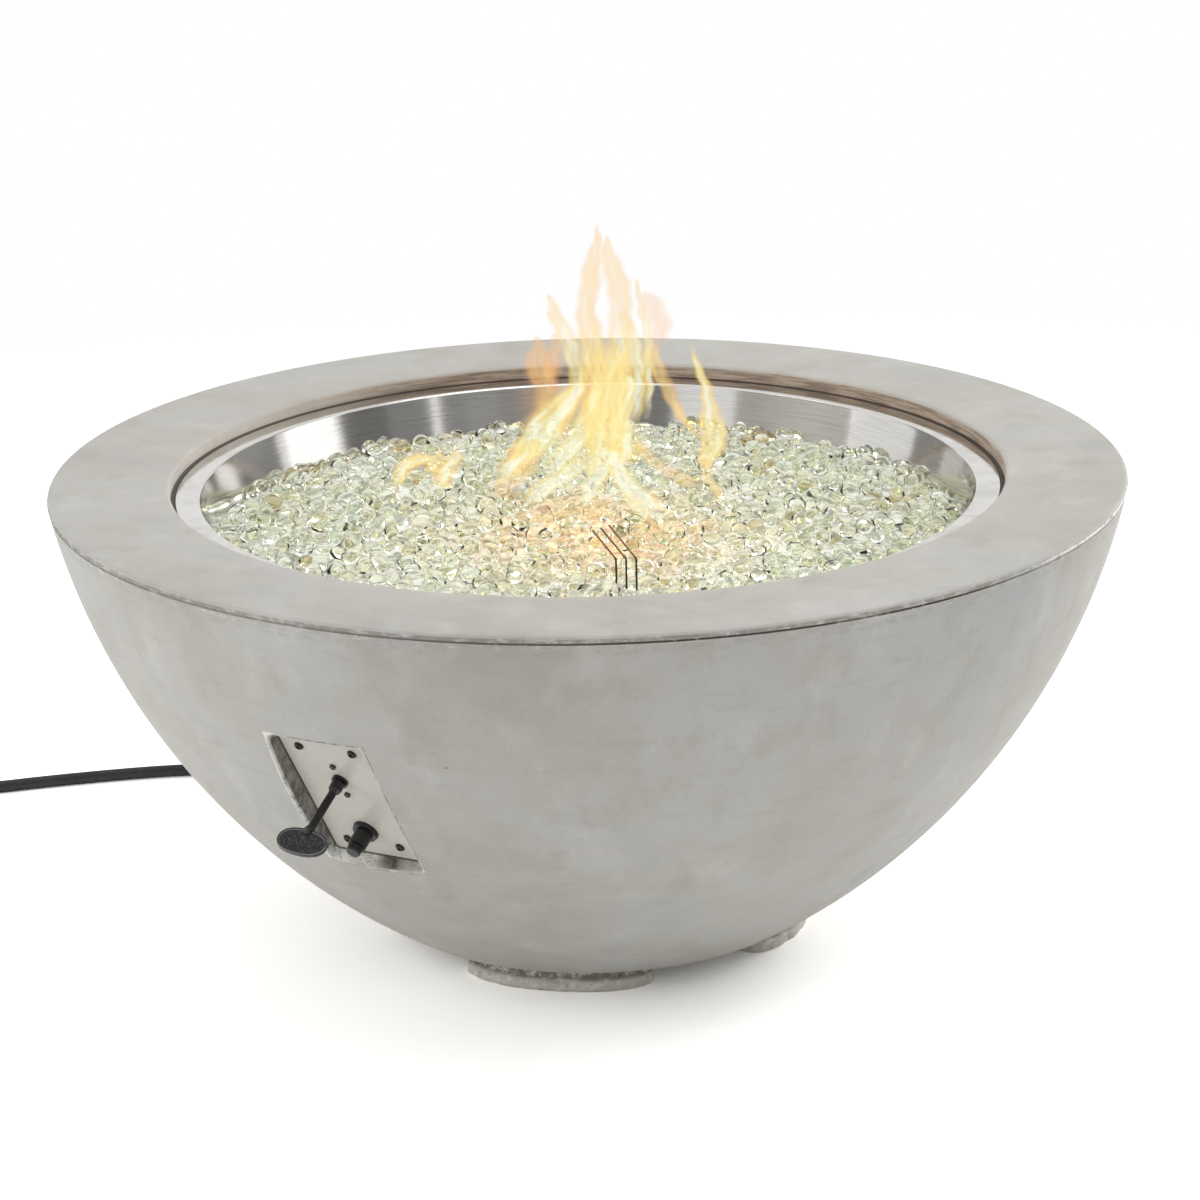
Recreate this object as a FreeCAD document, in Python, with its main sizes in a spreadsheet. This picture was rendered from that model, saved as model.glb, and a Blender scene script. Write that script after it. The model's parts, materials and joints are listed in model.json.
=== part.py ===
import FreeCAD, Part
import math
import os

import Sketcher
from FreeCAD import Placement, Rotation, Vector

# A round concrete fire pit for gas: a cast bowl on four moulded feet, a steel
# pan of glass gems over a ring burner, a control panel let into the side, and
# a hose that ends in a regulator.
# Millimetres. The origin is on the ground under the bowl's axis, +Z is up and
# the viewer stands on the -Y side. An azimuth is measured from -Y towards +X.

DIMENSIONS = {
    # Bowl. Its outside is one arc, whose centre is above the rim and past the axis.
    "rim_radius": 533.4,
    "total_height": 470,
    "bowl_arc": 690,
    "arc_rise": 138.7,
    "wall": 20,
    "floor_thickness": 28,
    "rim_chamfer": 3.5,
    "rim_drop": 70,
    "well_radius": 413,
    "well_chamfer": 4,
    "ledge_radius": 390,
    "ledge_height": 26,
    "port_radius": 50,
    # Feet, moulded in one with the bowl
    "foot_height": 22,
    "foot_lip": 12,
    "foot_outer": 219,
    "foot_inner": 164,
    "foot_inset": 8,
    "foot_end": 32,
    "foot_chamfer": 3,
    "foot_span": 24.3,
    "foot_azimuth": -12,
    # Control panel and the recess it sits in
    "panel_azimuth": -30.5,
    "panel_slope": 30.5,
    "panel_depth": 17.4,
    "panel_across": -1.5,
    "panel_up": 2,
    "panel_turn": 2,
    "panel_width": 95,
    "panel_height": 162,
    "panel_sheet": 2,
    "panel_corner": 4,
    "recess_gap": 0.5,
    "recess_flare": 0.488,
    "recess_reach": 32,
    "boss_width": 150,
    "boss_height": 214,
    "boss_thickness": 19,
    "hatch_width": 42,
    "hatch_height": 114,
    "hatch_drop": 6,
    "screw_across": 29.25,
    "screw_up": 65.3,
    "screw_radius": 2.4,
    "screw_head": 4.75,
    # Burner pan
    "lip_drop": 14,
    "lip_radius": 408,
    "pan_mouth": 384,
    "pan_foot": 362,
    "pan_depth": 76,
    "pan_sheet": 1.5,
    "pan_hole": 11.2,
    "drain_radius": 4,
    "drain_circle": 300,
    # Gems
    "gem_level": 44,
    "gem_crown": 50,
    "gem_hollow": 170,
    "gem_base": 24,
    # Burner
    "burner_radius": 150,
    "burner_top": 23,
    "burner_lift": 2,
    "burner_sheet": 1.5,
    "port_circle": 120,
    "port_size": 1.6,
    "nipple_radius": 10.65,
    "nipple_bore": 7.9,
    # Valve and key
    "valve_across": -1.2,
    "valve_up": 22.6,
    "valve_set_back": 46,
    "gas_bore": 5,
    "fitting_radius": 9,
    "plug_large": 9.6,
    "plug_small": 7.9,
    "plug_half": 15,
    "stem_radius": 4.5,
    "stem_square": 6.35,
    "key_turn": -6.9,
    "key_shaft": 3.55,
    "key_socket": 6.5,
    "key_width": 50.7,
    "key_depth": 30.2,
    "key_reach": 75.3,
    "key_thickness": 5,
    "key_border": 2.4,
    # Igniter
    "igniter_across": -2,
    "igniter_down": 48.2,
    "igniter_flange": 13,
    "igniter_neck": 8,
    "igniter_case": 12,
    "cap_radius": 8.7,
    "cap_reach": 20,
    "button_radius": 7,
    "button_reach": 28,
    # Electrodes
    "electrode_x": 35,
    "electrode_y": -234,
    "electrode_pitch": 9.5,
    "electrode_wire": 1.2,
    "insulator_radius": 3.5,
    # Hose, its way out of the bowl, and the regulator
    "hose_radius": 6.35,
    "hose_azimuth": -147,
    "hose_slope": 50,
    "grommet_radius": 10.9,
    "grommet_flange": 15,
    "coil_large": 79.4,
    "coil_small": 66.7,
    "flex_radius": 8,
    "regulator_radius": 34,
    "regulator_axis": 24.5,
    "coupling_radius": 24,
}

doc = FreeCAD.newDocument("fire_pit")
sheet = doc.addObject("Spreadsheet::Sheet", "sheet")
for row, (alias, amount) in enumerate(DIMENSIONS.items(), start=1):
    sheet.set(f"A{row}", alias)
    sheet.set(f"B{row}", str(amount))
    sheet.setAlias(f"B{row}", alias)
doc.recompute()


class Size:
    """A length worked out from the sheet: its expression, and what it comes to now."""

    def __init__(self, text, value):
        self.text = text
        self.value = value

    def __float__(self):
        return float(self.value)

    def combine(self, other, sign, value, swap=False):
        left, right = self.text, as_size(other).text
        if swap:
            left, right = right, left
        return Size(f"({left} {sign} {right})", value)

    def __add__(self, other):
        return self.combine(other, "+", float(self) + float(other))

    def __radd__(self, other):
        return self.combine(other, "+", float(other) + float(self), swap=True)

    def __sub__(self, other):
        return self.combine(other, "-", float(self) - float(other))

    def __rsub__(self, other):
        return self.combine(other, "-", float(other) - float(self), swap=True)

    def __mul__(self, other):
        return self.combine(other, "*", float(self) * float(other))

    def __rmul__(self, other):
        return self.combine(other, "*", float(other) * float(self), swap=True)

    def __truediv__(self, other):
        return self.combine(other, "/", float(self) / float(other))

    def __neg__(self):
        return Size(f"(-1 * {self.text})", -float(self))


def as_size(amount):
    """A plain number as a Size, so that both can be mixed."""
    if isinstance(amount, Size):
        return amount
    return Size(f"({amount})", amount)


def root(amount):
    """Square root of a Size."""
    return Size(f"sqrt({amount.text})", math.sqrt(float(amount)))


class Driving:
    """Reads a driving dimension by its name in the sheet."""

    def __getattr__(self, alias):
        return Size(f"sheet.{alias}", DIMENSIONS[alias])


d = Driving()
nodes = {}


def keep(name, thing):
    """Makes an object one of the parts that are written out, under its label."""
    thing.Label = name
    nodes[name] = thing
    return thing


def bind(thing, attribute, amount):
    """Sets a size, and ties it to the sheet when it comes from there."""
    setattr(thing, attribute, float(amount))
    if isinstance(amount, Size):
        thing.setExpression(attribute, amount.text)


def new_body(name, place=None):
    body = doc.addObject("PartDesign::Body", name)
    if place is not None:
        body.Placement = place
    return keep(name, body)


def origin_feature(body, role):
    return next(f for f in body.Origin.OriginFeatures if f.Role == role)


def new_sketch(body, name, plane="XY_Plane", offset=None):
    sketch = body.newObject("Sketcher::SketchObject", name)
    sketch.AttachmentSupport = (origin_feature(body, plane), [""])
    sketch.MapMode = "FlatFace"
    if offset is not None:
        sketch.AttachmentOffset = offset
    return sketch


def lifted(amount):
    """The offset of a sketch that lies this far along its plane's normal."""
    return Placement(Vector(0, 0, float(amount)), Rotation())


def hold(sketch, kind, where, amount):
    """Adds a dimension to a sketch and ties it to the sheet."""
    index = sketch.addConstraint(Sketcher.Constraint(kind, *where, float(amount)))
    if isinstance(amount, Size):
        sketch.setExpression(f"Constraints[{index}]", amount.text)


def pin(sketch, edge, end, corner):
    hold(sketch, "DistanceX", (-1, 1, edge, end), corner[0])
    hold(sketch, "DistanceY", (-1, 1, edge, end), corner[1])


def add_loop(sketch, corners):
    """A closed outline. A corner is (x, y), or (x, y, radius, side) where the edge that
    leaves it is an arc, with its centre to the left (side 1) or to the right (side -1)."""
    points = [Vector(float(c[0]), float(c[1]), 0) for c in corners]
    edges = []
    for corner, start, end in zip(corners, points, points[1:] + points[:1]):
        if len(corner) == 2:
            index = sketch.addGeometry(Part.LineSegment(start, end), False)
        else:
            radius, side = float(corner[2]), corner[3]
            chord = end - start
            left = Vector(-chord.y, chord.x, 0).normalize()
            rise = math.sqrt(max(0.0, radius**2 - (chord.Length / 2) ** 2))
            centre = (start + end) * 0.5 + left * (rise * side)
            crest = centre - left * (radius * side)
            index = sketch.addGeometry(Part.Arc(start, crest, end), False)
            hold(sketch, "Radius", (index,), corner[2])
        begins_at_one = (sketch.getPoint(index, 1) - start).Length < 1e-4
        edges.append((index, 1, 2) if begins_at_one else (index, 2, 1))
    for (edge, first, last), (follower, begin, _) in zip(edges, edges[1:] + edges[:1]):
        sketch.addConstraint(Sketcher.Constraint("Coincident", edge, last, follower, begin))
    for (edge, first, last), corner in zip(edges, corners):
        pin(sketch, edge, first, corner)


def add_circle(sketch, across, up, radius):
    centre = Vector(float(across), float(up), 0)
    circle = Part.Circle(centre, Vector(0, 0, 1), float(radius))
    index = sketch.addGeometry(circle, False)
    hold(sketch, "Radius", (index,), radius)
    pin(sketch, index, 3, (across, up))


def hexagon(flats):
    """Corners of a hexagon of this width across its flats."""
    point, half = flats / math.sqrt(3), flats / 2
    return [
        (point, as_size(0)),
        (point / 2, half),
        (-point / 2, half),
        (-point, as_size(0)),
        (-point / 2, -half),
        (point / 2, -half),
    ]


def rectangle(width, height, up=0.0):
    right, top = width / 2, up + height / 2
    bottom = up - height / 2
    return [(right, bottom), (right, top), (-right, top), (-right, bottom)]


def rounded_rectangle(width, height, corner, up=0.0):
    """Corners of a rectangle with rounded corners, going anticlockwise."""
    right, top, bottom = width / 2, up + height / 2, up - height / 2
    return [
        (right, bottom + corner),
        (right, top - corner, corner, 1),
        (right - corner, top),
        (corner - right, top, corner, 1),
        (-right, top - corner),
        (-right, bottom + corner, corner, 1),
        (corner - right, bottom),
        (right - corner, bottom, corner, 1),
    ]


def turn(body, corners, name="Turned"):
    """Turns an outline of (radius, height) corners about the body's Z axis."""
    sketch = new_sketch(body, name + "Outline", "XZ_Plane")
    add_loop(sketch, corners)
    feature = body.newObject("PartDesign::Revolution", name)
    feature.Profile = sketch
    feature.ReferenceAxis = (sketch, ["V_Axis"])
    feature.Angle = 360
    return feature


def pad(body, sketch, length, name="Pad", downward=False):
    feature = body.newObject("PartDesign::Pad", name)
    feature.Profile = sketch
    bind(feature, "Length", length)
    feature.Reversed = downward
    return feature


def pocket(body, sketch, length, name="Pocket", upward=False):
    """Cuts against the sketch's normal, or along it when upward."""
    feature = body.newObject("PartDesign::Pocket", name)
    feature.Profile = sketch
    bind(feature, "Length", length)
    feature.Reversed = upward
    return feature


def at_height(height):
    """Picks the edges that lie level at this height."""

    def chosen(edge):
        box = edge.BoundBox
        return abs(box.ZMin - float(height)) < 0.01 and abs(box.ZMax - float(height)) < 0.01

    return chosen


def chamfer_edges(body, feature, chosen, size, name):
    """Chamfers those of a feature's edges that chosen(edge) picks."""
    doc.recompute()
    edges = feature.Shape.Edges
    names = [f"Edge{i}" for i, edge in enumerate(edges, start=1) if chosen(edge)]
    chamfer = body.newObject("PartDesign::Chamfer", name)
    chamfer.Base = (feature, names)
    bind(chamfer, "Size", size)
    return chamfer


def around(body, features, count, name="Around"):
    """Repeats features about the body's Z axis."""
    pattern = body.newObject("PartDesign::PolarPattern", name)
    pattern.Originals = features
    pattern.Axis = (origin_feature(body, "Z_Axis"), [""])
    pattern.Angle = 360
    pattern.Occurrences = count
    body.Tip = pattern
    return pattern


def turned_part(name, corners, place=None):
    body = new_body(name, place)
    turn(body, corners)
    return body


def washer_outline(inner, outer, low, high):
    return [(inner, low), (outer, low), (outer, high), (inner, high)]


def hex_part(name, flats, bore, length, place):
    """A hexagonal nut: its bore goes right through, along its own Z."""
    body = new_body(name, place)
    sketch = new_sketch(body, name + "Outline")
    add_loop(sketch, hexagon(flats))
    add_circle(sketch, as_size(0), as_size(0), bore)
    pad(body, sketch, length)
    return body


def copies(name, master, places):
    """One node that holds the same small piece at several places."""
    doc.recompute()
    shapes = []
    for place in places:
        shape = master.Shape.copy()
        shape.Placement = place.multiply(shape.Placement)
        shapes.append(shape)
    node = doc.addObject("Part::Feature", name)
    node.Shape = Part.makeCompound(shapes)
    return keep(name, node)


def master_part(name):
    """A body that is only copied, so it isn't written out itself."""
    body = new_body(name)
    del nodes[name]
    return body


def bowl_frame(azimuth, slope, inward=0.0):
    """A frame on the bowl's outside: X to the right, Y up along the wall, Z outward."""
    turn_by, fall = math.radians(azimuth), math.radians(slope)
    radial = Vector(math.sin(turn_by), -math.cos(turn_by), 0)
    out = radial * math.cos(fall) + Vector(0, 0, -math.sin(fall))
    across = Vector(math.cos(turn_by), math.sin(turn_by), 0)
    up = out.cross(across)
    reach = float(d.bowl_arc) * math.cos(fall) - float(arc_inset)
    height = float(arc_height) - float(d.bowl_arc) * math.sin(fall)
    point = radial * reach + Vector(0, 0, height) - out * inward
    return Placement(point, Rotation(across, up, out, "ZXY"))


def within(frame, across, up, out):
    """The same frame, moved to a point given in it."""
    return frame.multiply(Placement(Vector(across, up, out), Rotation()))


def path_through(points):
    """Straight runs joined by tangent arcs, each as large as its two runs allow."""
    edges, radii = [], []
    here = points[0]
    for before, corner, after in zip(points, points[1:], points[2:]):
        arriving, leaving = corner - before, after - corner
        shorter = min(arriving.Length, leaving.Length)
        half_turn = arriving.getAngle(leaving) / 2
        setback = 0.45 * shorter
        radii.append(setback / math.tan(half_turn))
        arriving.normalize()
        leaving.normalize()
        start, end = corner - arriving * setback, corner + leaving * setback
        middle = (start + end) * 0.5
        inward = (middle - corner).normalize()
        centre_away = radii[-1] / math.cos(half_turn)
        crest = corner + inward * (centre_away - radii[-1])
        edges.append(Part.LineSegment(here, start).toShape())
        edges.append(Part.Arc(start, crest, end).toShape())
        here = end
    edges.append(Part.LineSegment(here, points[-1]).toShape())
    return Part.Wire(edges), radii


def tube_shape(wire, points, radius, sides=0):
    """A tube along a path: round, or with a few flat sides where it is thin and hidden."""
    tangent = (points[1] - points[0]).normalize()
    if not sides:
        section = Part.Wire([Part.makeCircle(radius, points[0], tangent)])
    else:
        aside = tangent.cross(Vector(0.3, 0.2, 1)).normalize()
        turn_by = [Rotation(tangent, 360 * k / sides) for k in range(sides)]
        ring = [points[0] + turned.multVec(aside) * radius for turned in turn_by]
        section = Part.makePolygon(ring + ring[:1])
    return wire.makePipeShell([section], True, False)


def tube_part(name, points, radius, sides=0):
    """A hose or a line as one node, with its length and its bends printed."""
    wire, radii = path_through(points)
    shape = tube_shape(wire, points, float(radius), sides)
    expected = math.pi * float(radius) ** 2 * wire.Length
    if sides:
        expected *= math.sin(2 * math.pi / sides) * sides / (2 * math.pi)
    print(
        f"{name}: {wire.Length:.0f} long, radii {[round(r) for r in radii]},"
        f" volume {shape.Volume / expected:.4f} of section times length"
    )
    node = doc.addObject("Part::Feature", name)
    node.Shape = shape
    return keep(name, node)


VALVE_SCREW_PITCH = 19.5
BRACKET_SCREW = 27

# The bowl's arc, worked out once
arc_inset = root(d.bowl_arc * d.bowl_arc - d.arc_rise * d.arc_rise) - d.rim_radius
arc_height = d.total_height + d.arc_rise


def arc_radius_at(height, radius):
    """How far the bowl's arc, of this radius, is from the axis at a height."""
    fall = arc_height - height
    return root(radius * radius - fall * fall) - arc_inset


PANEL = bowl_frame(float(d.panel_azimuth), float(d.panel_slope), float(d.panel_depth))
PANEL = within(PANEL, float(d.panel_across), float(d.panel_up), 0)
PANEL.Rotation = PANEL.Rotation.multiply(Rotation(Vector(0, 0, 1), float(d.panel_turn)))
HOSE_EXIT = bowl_frame(float(d.hose_azimuth), float(d.hose_slope))
HATCH_BACK = d.panel_sheet + d.boss_thickness


def concrete_bowl():
    body = new_body("concrete_bowl")
    top, base = d.total_height, d.foot_height
    ledge = top - d.lip_drop - d.pan_sheet
    shoulder = top - d.rim_drop
    cavity_floor = base + d.floor_thickness
    # The inside follows the outside in a few straight slopes
    slopes = []
    for share in (0.0, 0.28, 0.54, 0.78, 1.0):
        height = shoulder - (shoulder - cavity_floor) * share
        slopes.append((arc_radius_at(height, d.bowl_arc - d.wall), height))
    turn(
        body,
        [
            (d.port_radius, base),
            (arc_radius_at(base, d.bowl_arc), base, d.bowl_arc, 1),
            (arc_radius_at(top - d.rim_chamfer, d.bowl_arc), top - d.rim_chamfer),
            (d.rim_radius - d.rim_chamfer, top),
            (d.well_radius + d.well_chamfer, top),
            (d.well_radius, top - d.well_chamfer),
            (d.well_radius, ledge),
            (d.ledge_radius, ledge),
            (d.ledge_radius, ledge - d.ledge_height),
            *slopes,
            (d.port_radius, cavity_floor),
        ],
        "Shell",
    )

    # One foot: a lip that stands on the ground, and a narrower neck above it
    turn_by = float(d.foot_azimuth) - 90
    span = math.radians(float(d.foot_span))
    steps = []
    for name, low, inset, tall in (
        ("FootLip", 0.0, as_size(0), d.foot_lip),
        ("FootNeck", float(d.foot_lip), d.foot_inset, d.foot_height - d.foot_lip + 3),
    ):
        offset = Placement(Vector(0, 0, low), Rotation(Vector(0, 0, 1), turn_by))
        sketch = new_sketch(body, name + "Outline", "XY_Plane", offset)
        outer, inner = d.foot_outer - inset, d.foot_inner + inset
        end = d.foot_end - inset
        reach, side = math.cos(span), math.sin(span)
        add_loop(
            sketch,
            [
                (outer * reach, -outer * side, outer, 1),
                (outer * reach, outer * side, end, 1),
                (inner * reach, inner * side, inner, -1),
                (inner * reach, -inner * side, end, 1),
            ],
        )
        steps.append(pad(body, sketch, tall, name))
    feet = around(body, steps, 4, "Feet")
    chamfer_edges(body, feet, at_height(0.0), d.foot_chamfer, "FootChamfer")

    # The wall is thicker round the control panel, and the recess is cut into that
    behind = within(PANEL, 0, 0, -float(HATCH_BACK))
    boss = new_sketch(body, "BossOutline", "XY_Plane", behind)
    add_loop(boss, rectangle(d.boss_width, d.boss_height))
    pad(body, boss, d.boss_thickness, "Boss")
    mouth = []
    for name, rise in (("RecessFloor", as_size(0)), ("RecessMouth", d.recess_reach)):
        offset = within(PANEL, 0, 0, float(rise - d.panel_sheet))
        sketch = new_sketch(body, name, "XY_Plane", offset)
        widen = 2 * (d.recess_gap + d.recess_flare * rise)
        add_loop(
            sketch,
            rounded_rectangle(
                d.panel_width + widen, d.panel_height + widen, d.panel_corner + d.recess_gap
            ),
        )
        mouth.append(sketch)
    recess = body.newObject("PartDesign::SubtractiveLoft", "Recess")
    recess.Profile = mouth[0]
    recess.Sections = [mouth[1]]
    recess.Ruled = True

    seat = within(PANEL, 0, 0, -float(d.panel_sheet))
    hatch = new_sketch(body, "HatchOutline", "XY_Plane", seat)
    add_loop(
        hatch, rounded_rectangle(d.hatch_width, d.hatch_height, d.panel_corner, -d.hatch_drop)
    )
    pocket(body, hatch, 2 * d.boss_thickness, "Hatch")
    anchors = new_sketch(body, "AnchorOutline", "XY_Plane", seat)
    for across in (-1, 1):
        for up in (-1, 1):
            add_circle(
                anchors, d.screw_across * across, d.screw_up * up, d.screw_radius + 0.05
            )
    pocket(body, anchors, as_size(16), "Anchors")

    # The hose's hole, with a flat seat for the grommet round it inside
    hole = new_sketch(body, "HoseHoleOutline", "XY_Plane", within(HOSE_EXIT, 0, 0, 6))
    add_circle(hole, as_size(0), as_size(0), d.grommet_radius + 0.1)
    pocket(body, hole, d.wall + 20, "HoseHole")
    grommet_seat = within(HOSE_EXIT, 0, 0, -float(d.wall) - 0.3)
    flat = new_sketch(body, "GrommetSeatOutline", "XY_Plane", grommet_seat)
    add_circle(flat, as_size(0), as_size(0), d.grommet_flange + 2)
    pocket(body, flat, as_size(12), "GrommetSeat")


def screw(name, head, height, shank, length):
    """A hexagon screw, kept plain, with the seat of its head at 0."""
    body = master_part(name)
    top = new_sketch(body, name + "Head")
    add_loop(top, hexagon(head))
    pad(body, top, height, "Head")
    stem = new_sketch(body, name + "Shank")
    add_loop(stem, hexagon(shank))
    pad(body, stem, length, "Shank", downward=True)
    return body


def control_panel():
    body = new_body("control_panel", within(PANEL, 0, 0, -float(d.panel_sheet)))
    sketch = new_sketch(body, "PlateOutline")
    add_loop(sketch, rounded_rectangle(d.panel_width, d.panel_height, d.panel_corner))
    for across in (-1, 1):
        for up in (-1, 1):
            add_circle(sketch, d.screw_across * across, d.screw_up * up, d.screw_radius + 0.2)
    for up in (-VALVE_SCREW_PITCH, VALVE_SCREW_PITCH):
        add_circle(sketch, d.valve_across, d.valve_up + up, as_size(1.9))
    add_circle(sketch, d.valve_across, d.valve_up, d.stem_radius + 1.7)
    add_circle(sketch, d.igniter_across, -d.igniter_down, d.igniter_neck + 0.2)
    pad(body, sketch, d.panel_sheet)

    panel_screw = screw(
        "panel_screw", d.screw_head * 1.8, as_size(2.8), d.screw_radius * 1.7, as_size(17)
    )
    across, up = float(d.screw_across), float(d.screw_up)
    corners = [(x, y) for x in (-across, across) for y in (-up, up)]
    copies("panel_screws", panel_screw, [within(PANEL, x, y, 0) for x, y in corners])


def burner_pan():
    body = new_body("burner_pan")
    top = d.total_height - d.lip_drop
    floor = top - d.pan_depth
    gauge = d.pan_sheet
    turn(
        body,
        [
            (d.pan_hole, floor - gauge),
            (d.pan_foot + gauge, floor - gauge),
            (d.pan_mouth + gauge, top - gauge),
            (d.lip_radius, top - gauge),
            (d.lip_radius, top),
            (d.pan_mouth, top),
            (d.pan_foot, floor),
            (d.pan_hole, floor),
        ],
        "Dish",
    )
    drain = new_sketch(body, "DrainOutline", "XY_Plane", lifted(floor + 2))
    add_circle(drain, d.drain_circle, as_size(0), d.drain_radius)
    hole = pocket(body, drain, as_size(6), "Drain")
    around(body, [hole], 4, "Drains")
    slot = new_sketch(body, "ElectrodeSlotOutline", "XY_Plane", lifted(floor + 2))
    near, far = d.electrode_y - 5, d.electrode_y + 5
    left = d.electrode_x - d.electrode_pitch - 6
    right = d.electrode_x + d.electrode_pitch + 6
    add_loop(slot, [(left, near), (right, near), (right, far), (left, far)])
    for side in (-1, 1):
        add_circle(slot, d.electrode_x + BRACKET_SCREW * side, d.electrode_y, as_size(2.0))
    pocket(body, slot, as_size(6), "ElectrodeSlot")


def gem_bed():
    """The gems as one heap, hollowed over the burner and open round the electrodes."""
    body = new_body("glass_gem_bed")
    top = d.total_height - d.lip_drop
    floor = top - d.pan_depth
    level, crown = floor + d.gem_level, floor + d.gem_crown
    clear = 0.6
    slant = (d.pan_mouth - d.pan_foot) / d.pan_depth
    edge = d.pan_foot + slant * d.gem_level - clear
    turn(
        body,
        [
            (d.gem_hollow, floor),
            (d.pan_foot - clear, floor),
            (edge, level),
            (as_size(0), crown),
            (as_size(0), floor + d.gem_base),
            (d.gem_hollow, floor + d.gem_base),
        ],
    )
    slot = new_sketch(body, "ElectrodeGapOutline", "XY_Plane", lifted(crown + 5))
    near, far = d.electrode_y - 16, d.electrode_y + 16
    left, right = d.electrode_x - 37, d.electrode_x + 37
    add_loop(slot, [(left, near), (right, near), (right, far), (left, far)])
    pocket(body, slot, as_size(70), "ElectrodeGap")


def burner():
    """A flat round box pressed from sheet, clamped to the pan's floor by its nipple."""
    floor = d.total_height - d.lip_drop - d.pan_depth
    foot = floor + d.burner_lift
    gauge = d.burner_sheet
    seam = foot + gauge
    brim = d.burner_radius + 6
    crest = floor + d.burner_top
    turned_part("burner_base", washer_outline(d.nipple_radius + 0.1, brim, foot, seam))
    cover = new_body("burner_cover")
    turn(
        cover,
        [
            (d.burner_radius - gauge, seam),
            (brim, seam),
            (brim, seam + gauge),
            (d.burner_radius, seam + gauge),
            (d.burner_radius - 6, crest),
            (as_size(0), crest),
            (as_size(0), crest - gauge),
            (d.burner_radius - 6 - gauge, crest - gauge),
        ],
        "Cover",
    )
    for name, circle, count in (("Outer", d.port_circle, 8), ("Inner", d.port_circle / 2, 4)):
        sketch = new_sketch(cover, name + "PortOutline", "XY_Plane", lifted(crest + 1))
        add_circle(sketch, circle, as_size(0), d.port_size)
        port = pocket(cover, sketch, as_size(4), name + "Port")
        around(cover, [port], count, name + "Ports")

    leg = master_part("burner_standoff")
    block = new_sketch(leg, "StandoffOutline")
    add_loop(block, rectangle(as_size(16), as_size(10)))
    pad(leg, block, d.burner_lift)
    reach = float(d.port_circle)
    places = []
    for quarter in range(4):
        angle = math.radians(45 + 90 * quarter)
        where = Vector(reach * math.cos(angle), reach * math.sin(angle), float(floor))
        places.append(Placement(where, Rotation()))
    copies("burner_standoffs", leg, places)

    under = floor - d.pan_sheet
    turned_part(
        "burner_nipple",
        washer_outline(d.nipple_bore, d.nipple_radius, floor - 54, seam + 8),
    )
    locknut = master_part("locknut")
    sketch = new_sketch(locknut, "LocknutOutline")
    add_loop(sketch, hexagon(as_size(34)))
    add_circle(sketch, as_size(0), as_size(0), d.nipple_radius + 0.1)
    pad(locknut, sketch, as_size(7))
    copies("burner_locknuts", locknut, [lifted(seam), lifted(under - 7)])

    # The mixer draws air in through four windows, round the jet of the orifice
    mixer = new_body("air_mixer")
    low = floor - 118
    turn(
        mixer,
        [
            (as_size(8.1), low),
            (as_size(17), low),
            (as_size(17), low + 24),
            (as_size(13.5), low + 34),
            (as_size(13.5), low + 76),
            (d.nipple_radius + 0.1, low + 76),
            (d.nipple_radius + 0.1, low + 63.5),
            (as_size(8), low + 58),
            (as_size(8), low + 34),
            (as_size(14), low + 24),
            (as_size(14), low + 3),
            (as_size(8.1), low + 3),
        ],
    )
    window = new_sketch(mixer, "WindowOutline", "XZ_Plane")
    add_loop(window, rectangle(as_size(13), as_size(12), low + 11))
    through = pocket(mixer, window, as_size(40), "Windows")
    through.Midplane = True

    orifice = new_body("gas_orifice")
    turn(
        orifice,
        [
            (d.gas_bore, low - 22),
            (as_size(8), low - 22),
            (as_size(8), low + 6),
            (as_size(1), low + 6),
            (as_size(1), low + 2),
            (d.gas_bore, low + 2),
        ],
    )
    grip = new_sketch(orifice, "GripOutline", "XY_Plane", lifted(low - 10))
    add_loop(grip, hexagon(as_size(22)))
    add_circle(grip, as_size(0), as_size(0), as_size(7.5))
    pad(orifice, grip, as_size(10), "Grip")
    return low


VALVE = within(PANEL, float(d.valve_across), float(d.valve_up), -float(d.valve_set_back))
CORE = VALVE.multiply(Placement(Vector(), Rotation(Vector(0, 0, 1), float(d.key_turn))))
DOWNWARD = Placement(Vector(), Rotation(Vector(1, 0, 0), 90))


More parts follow.
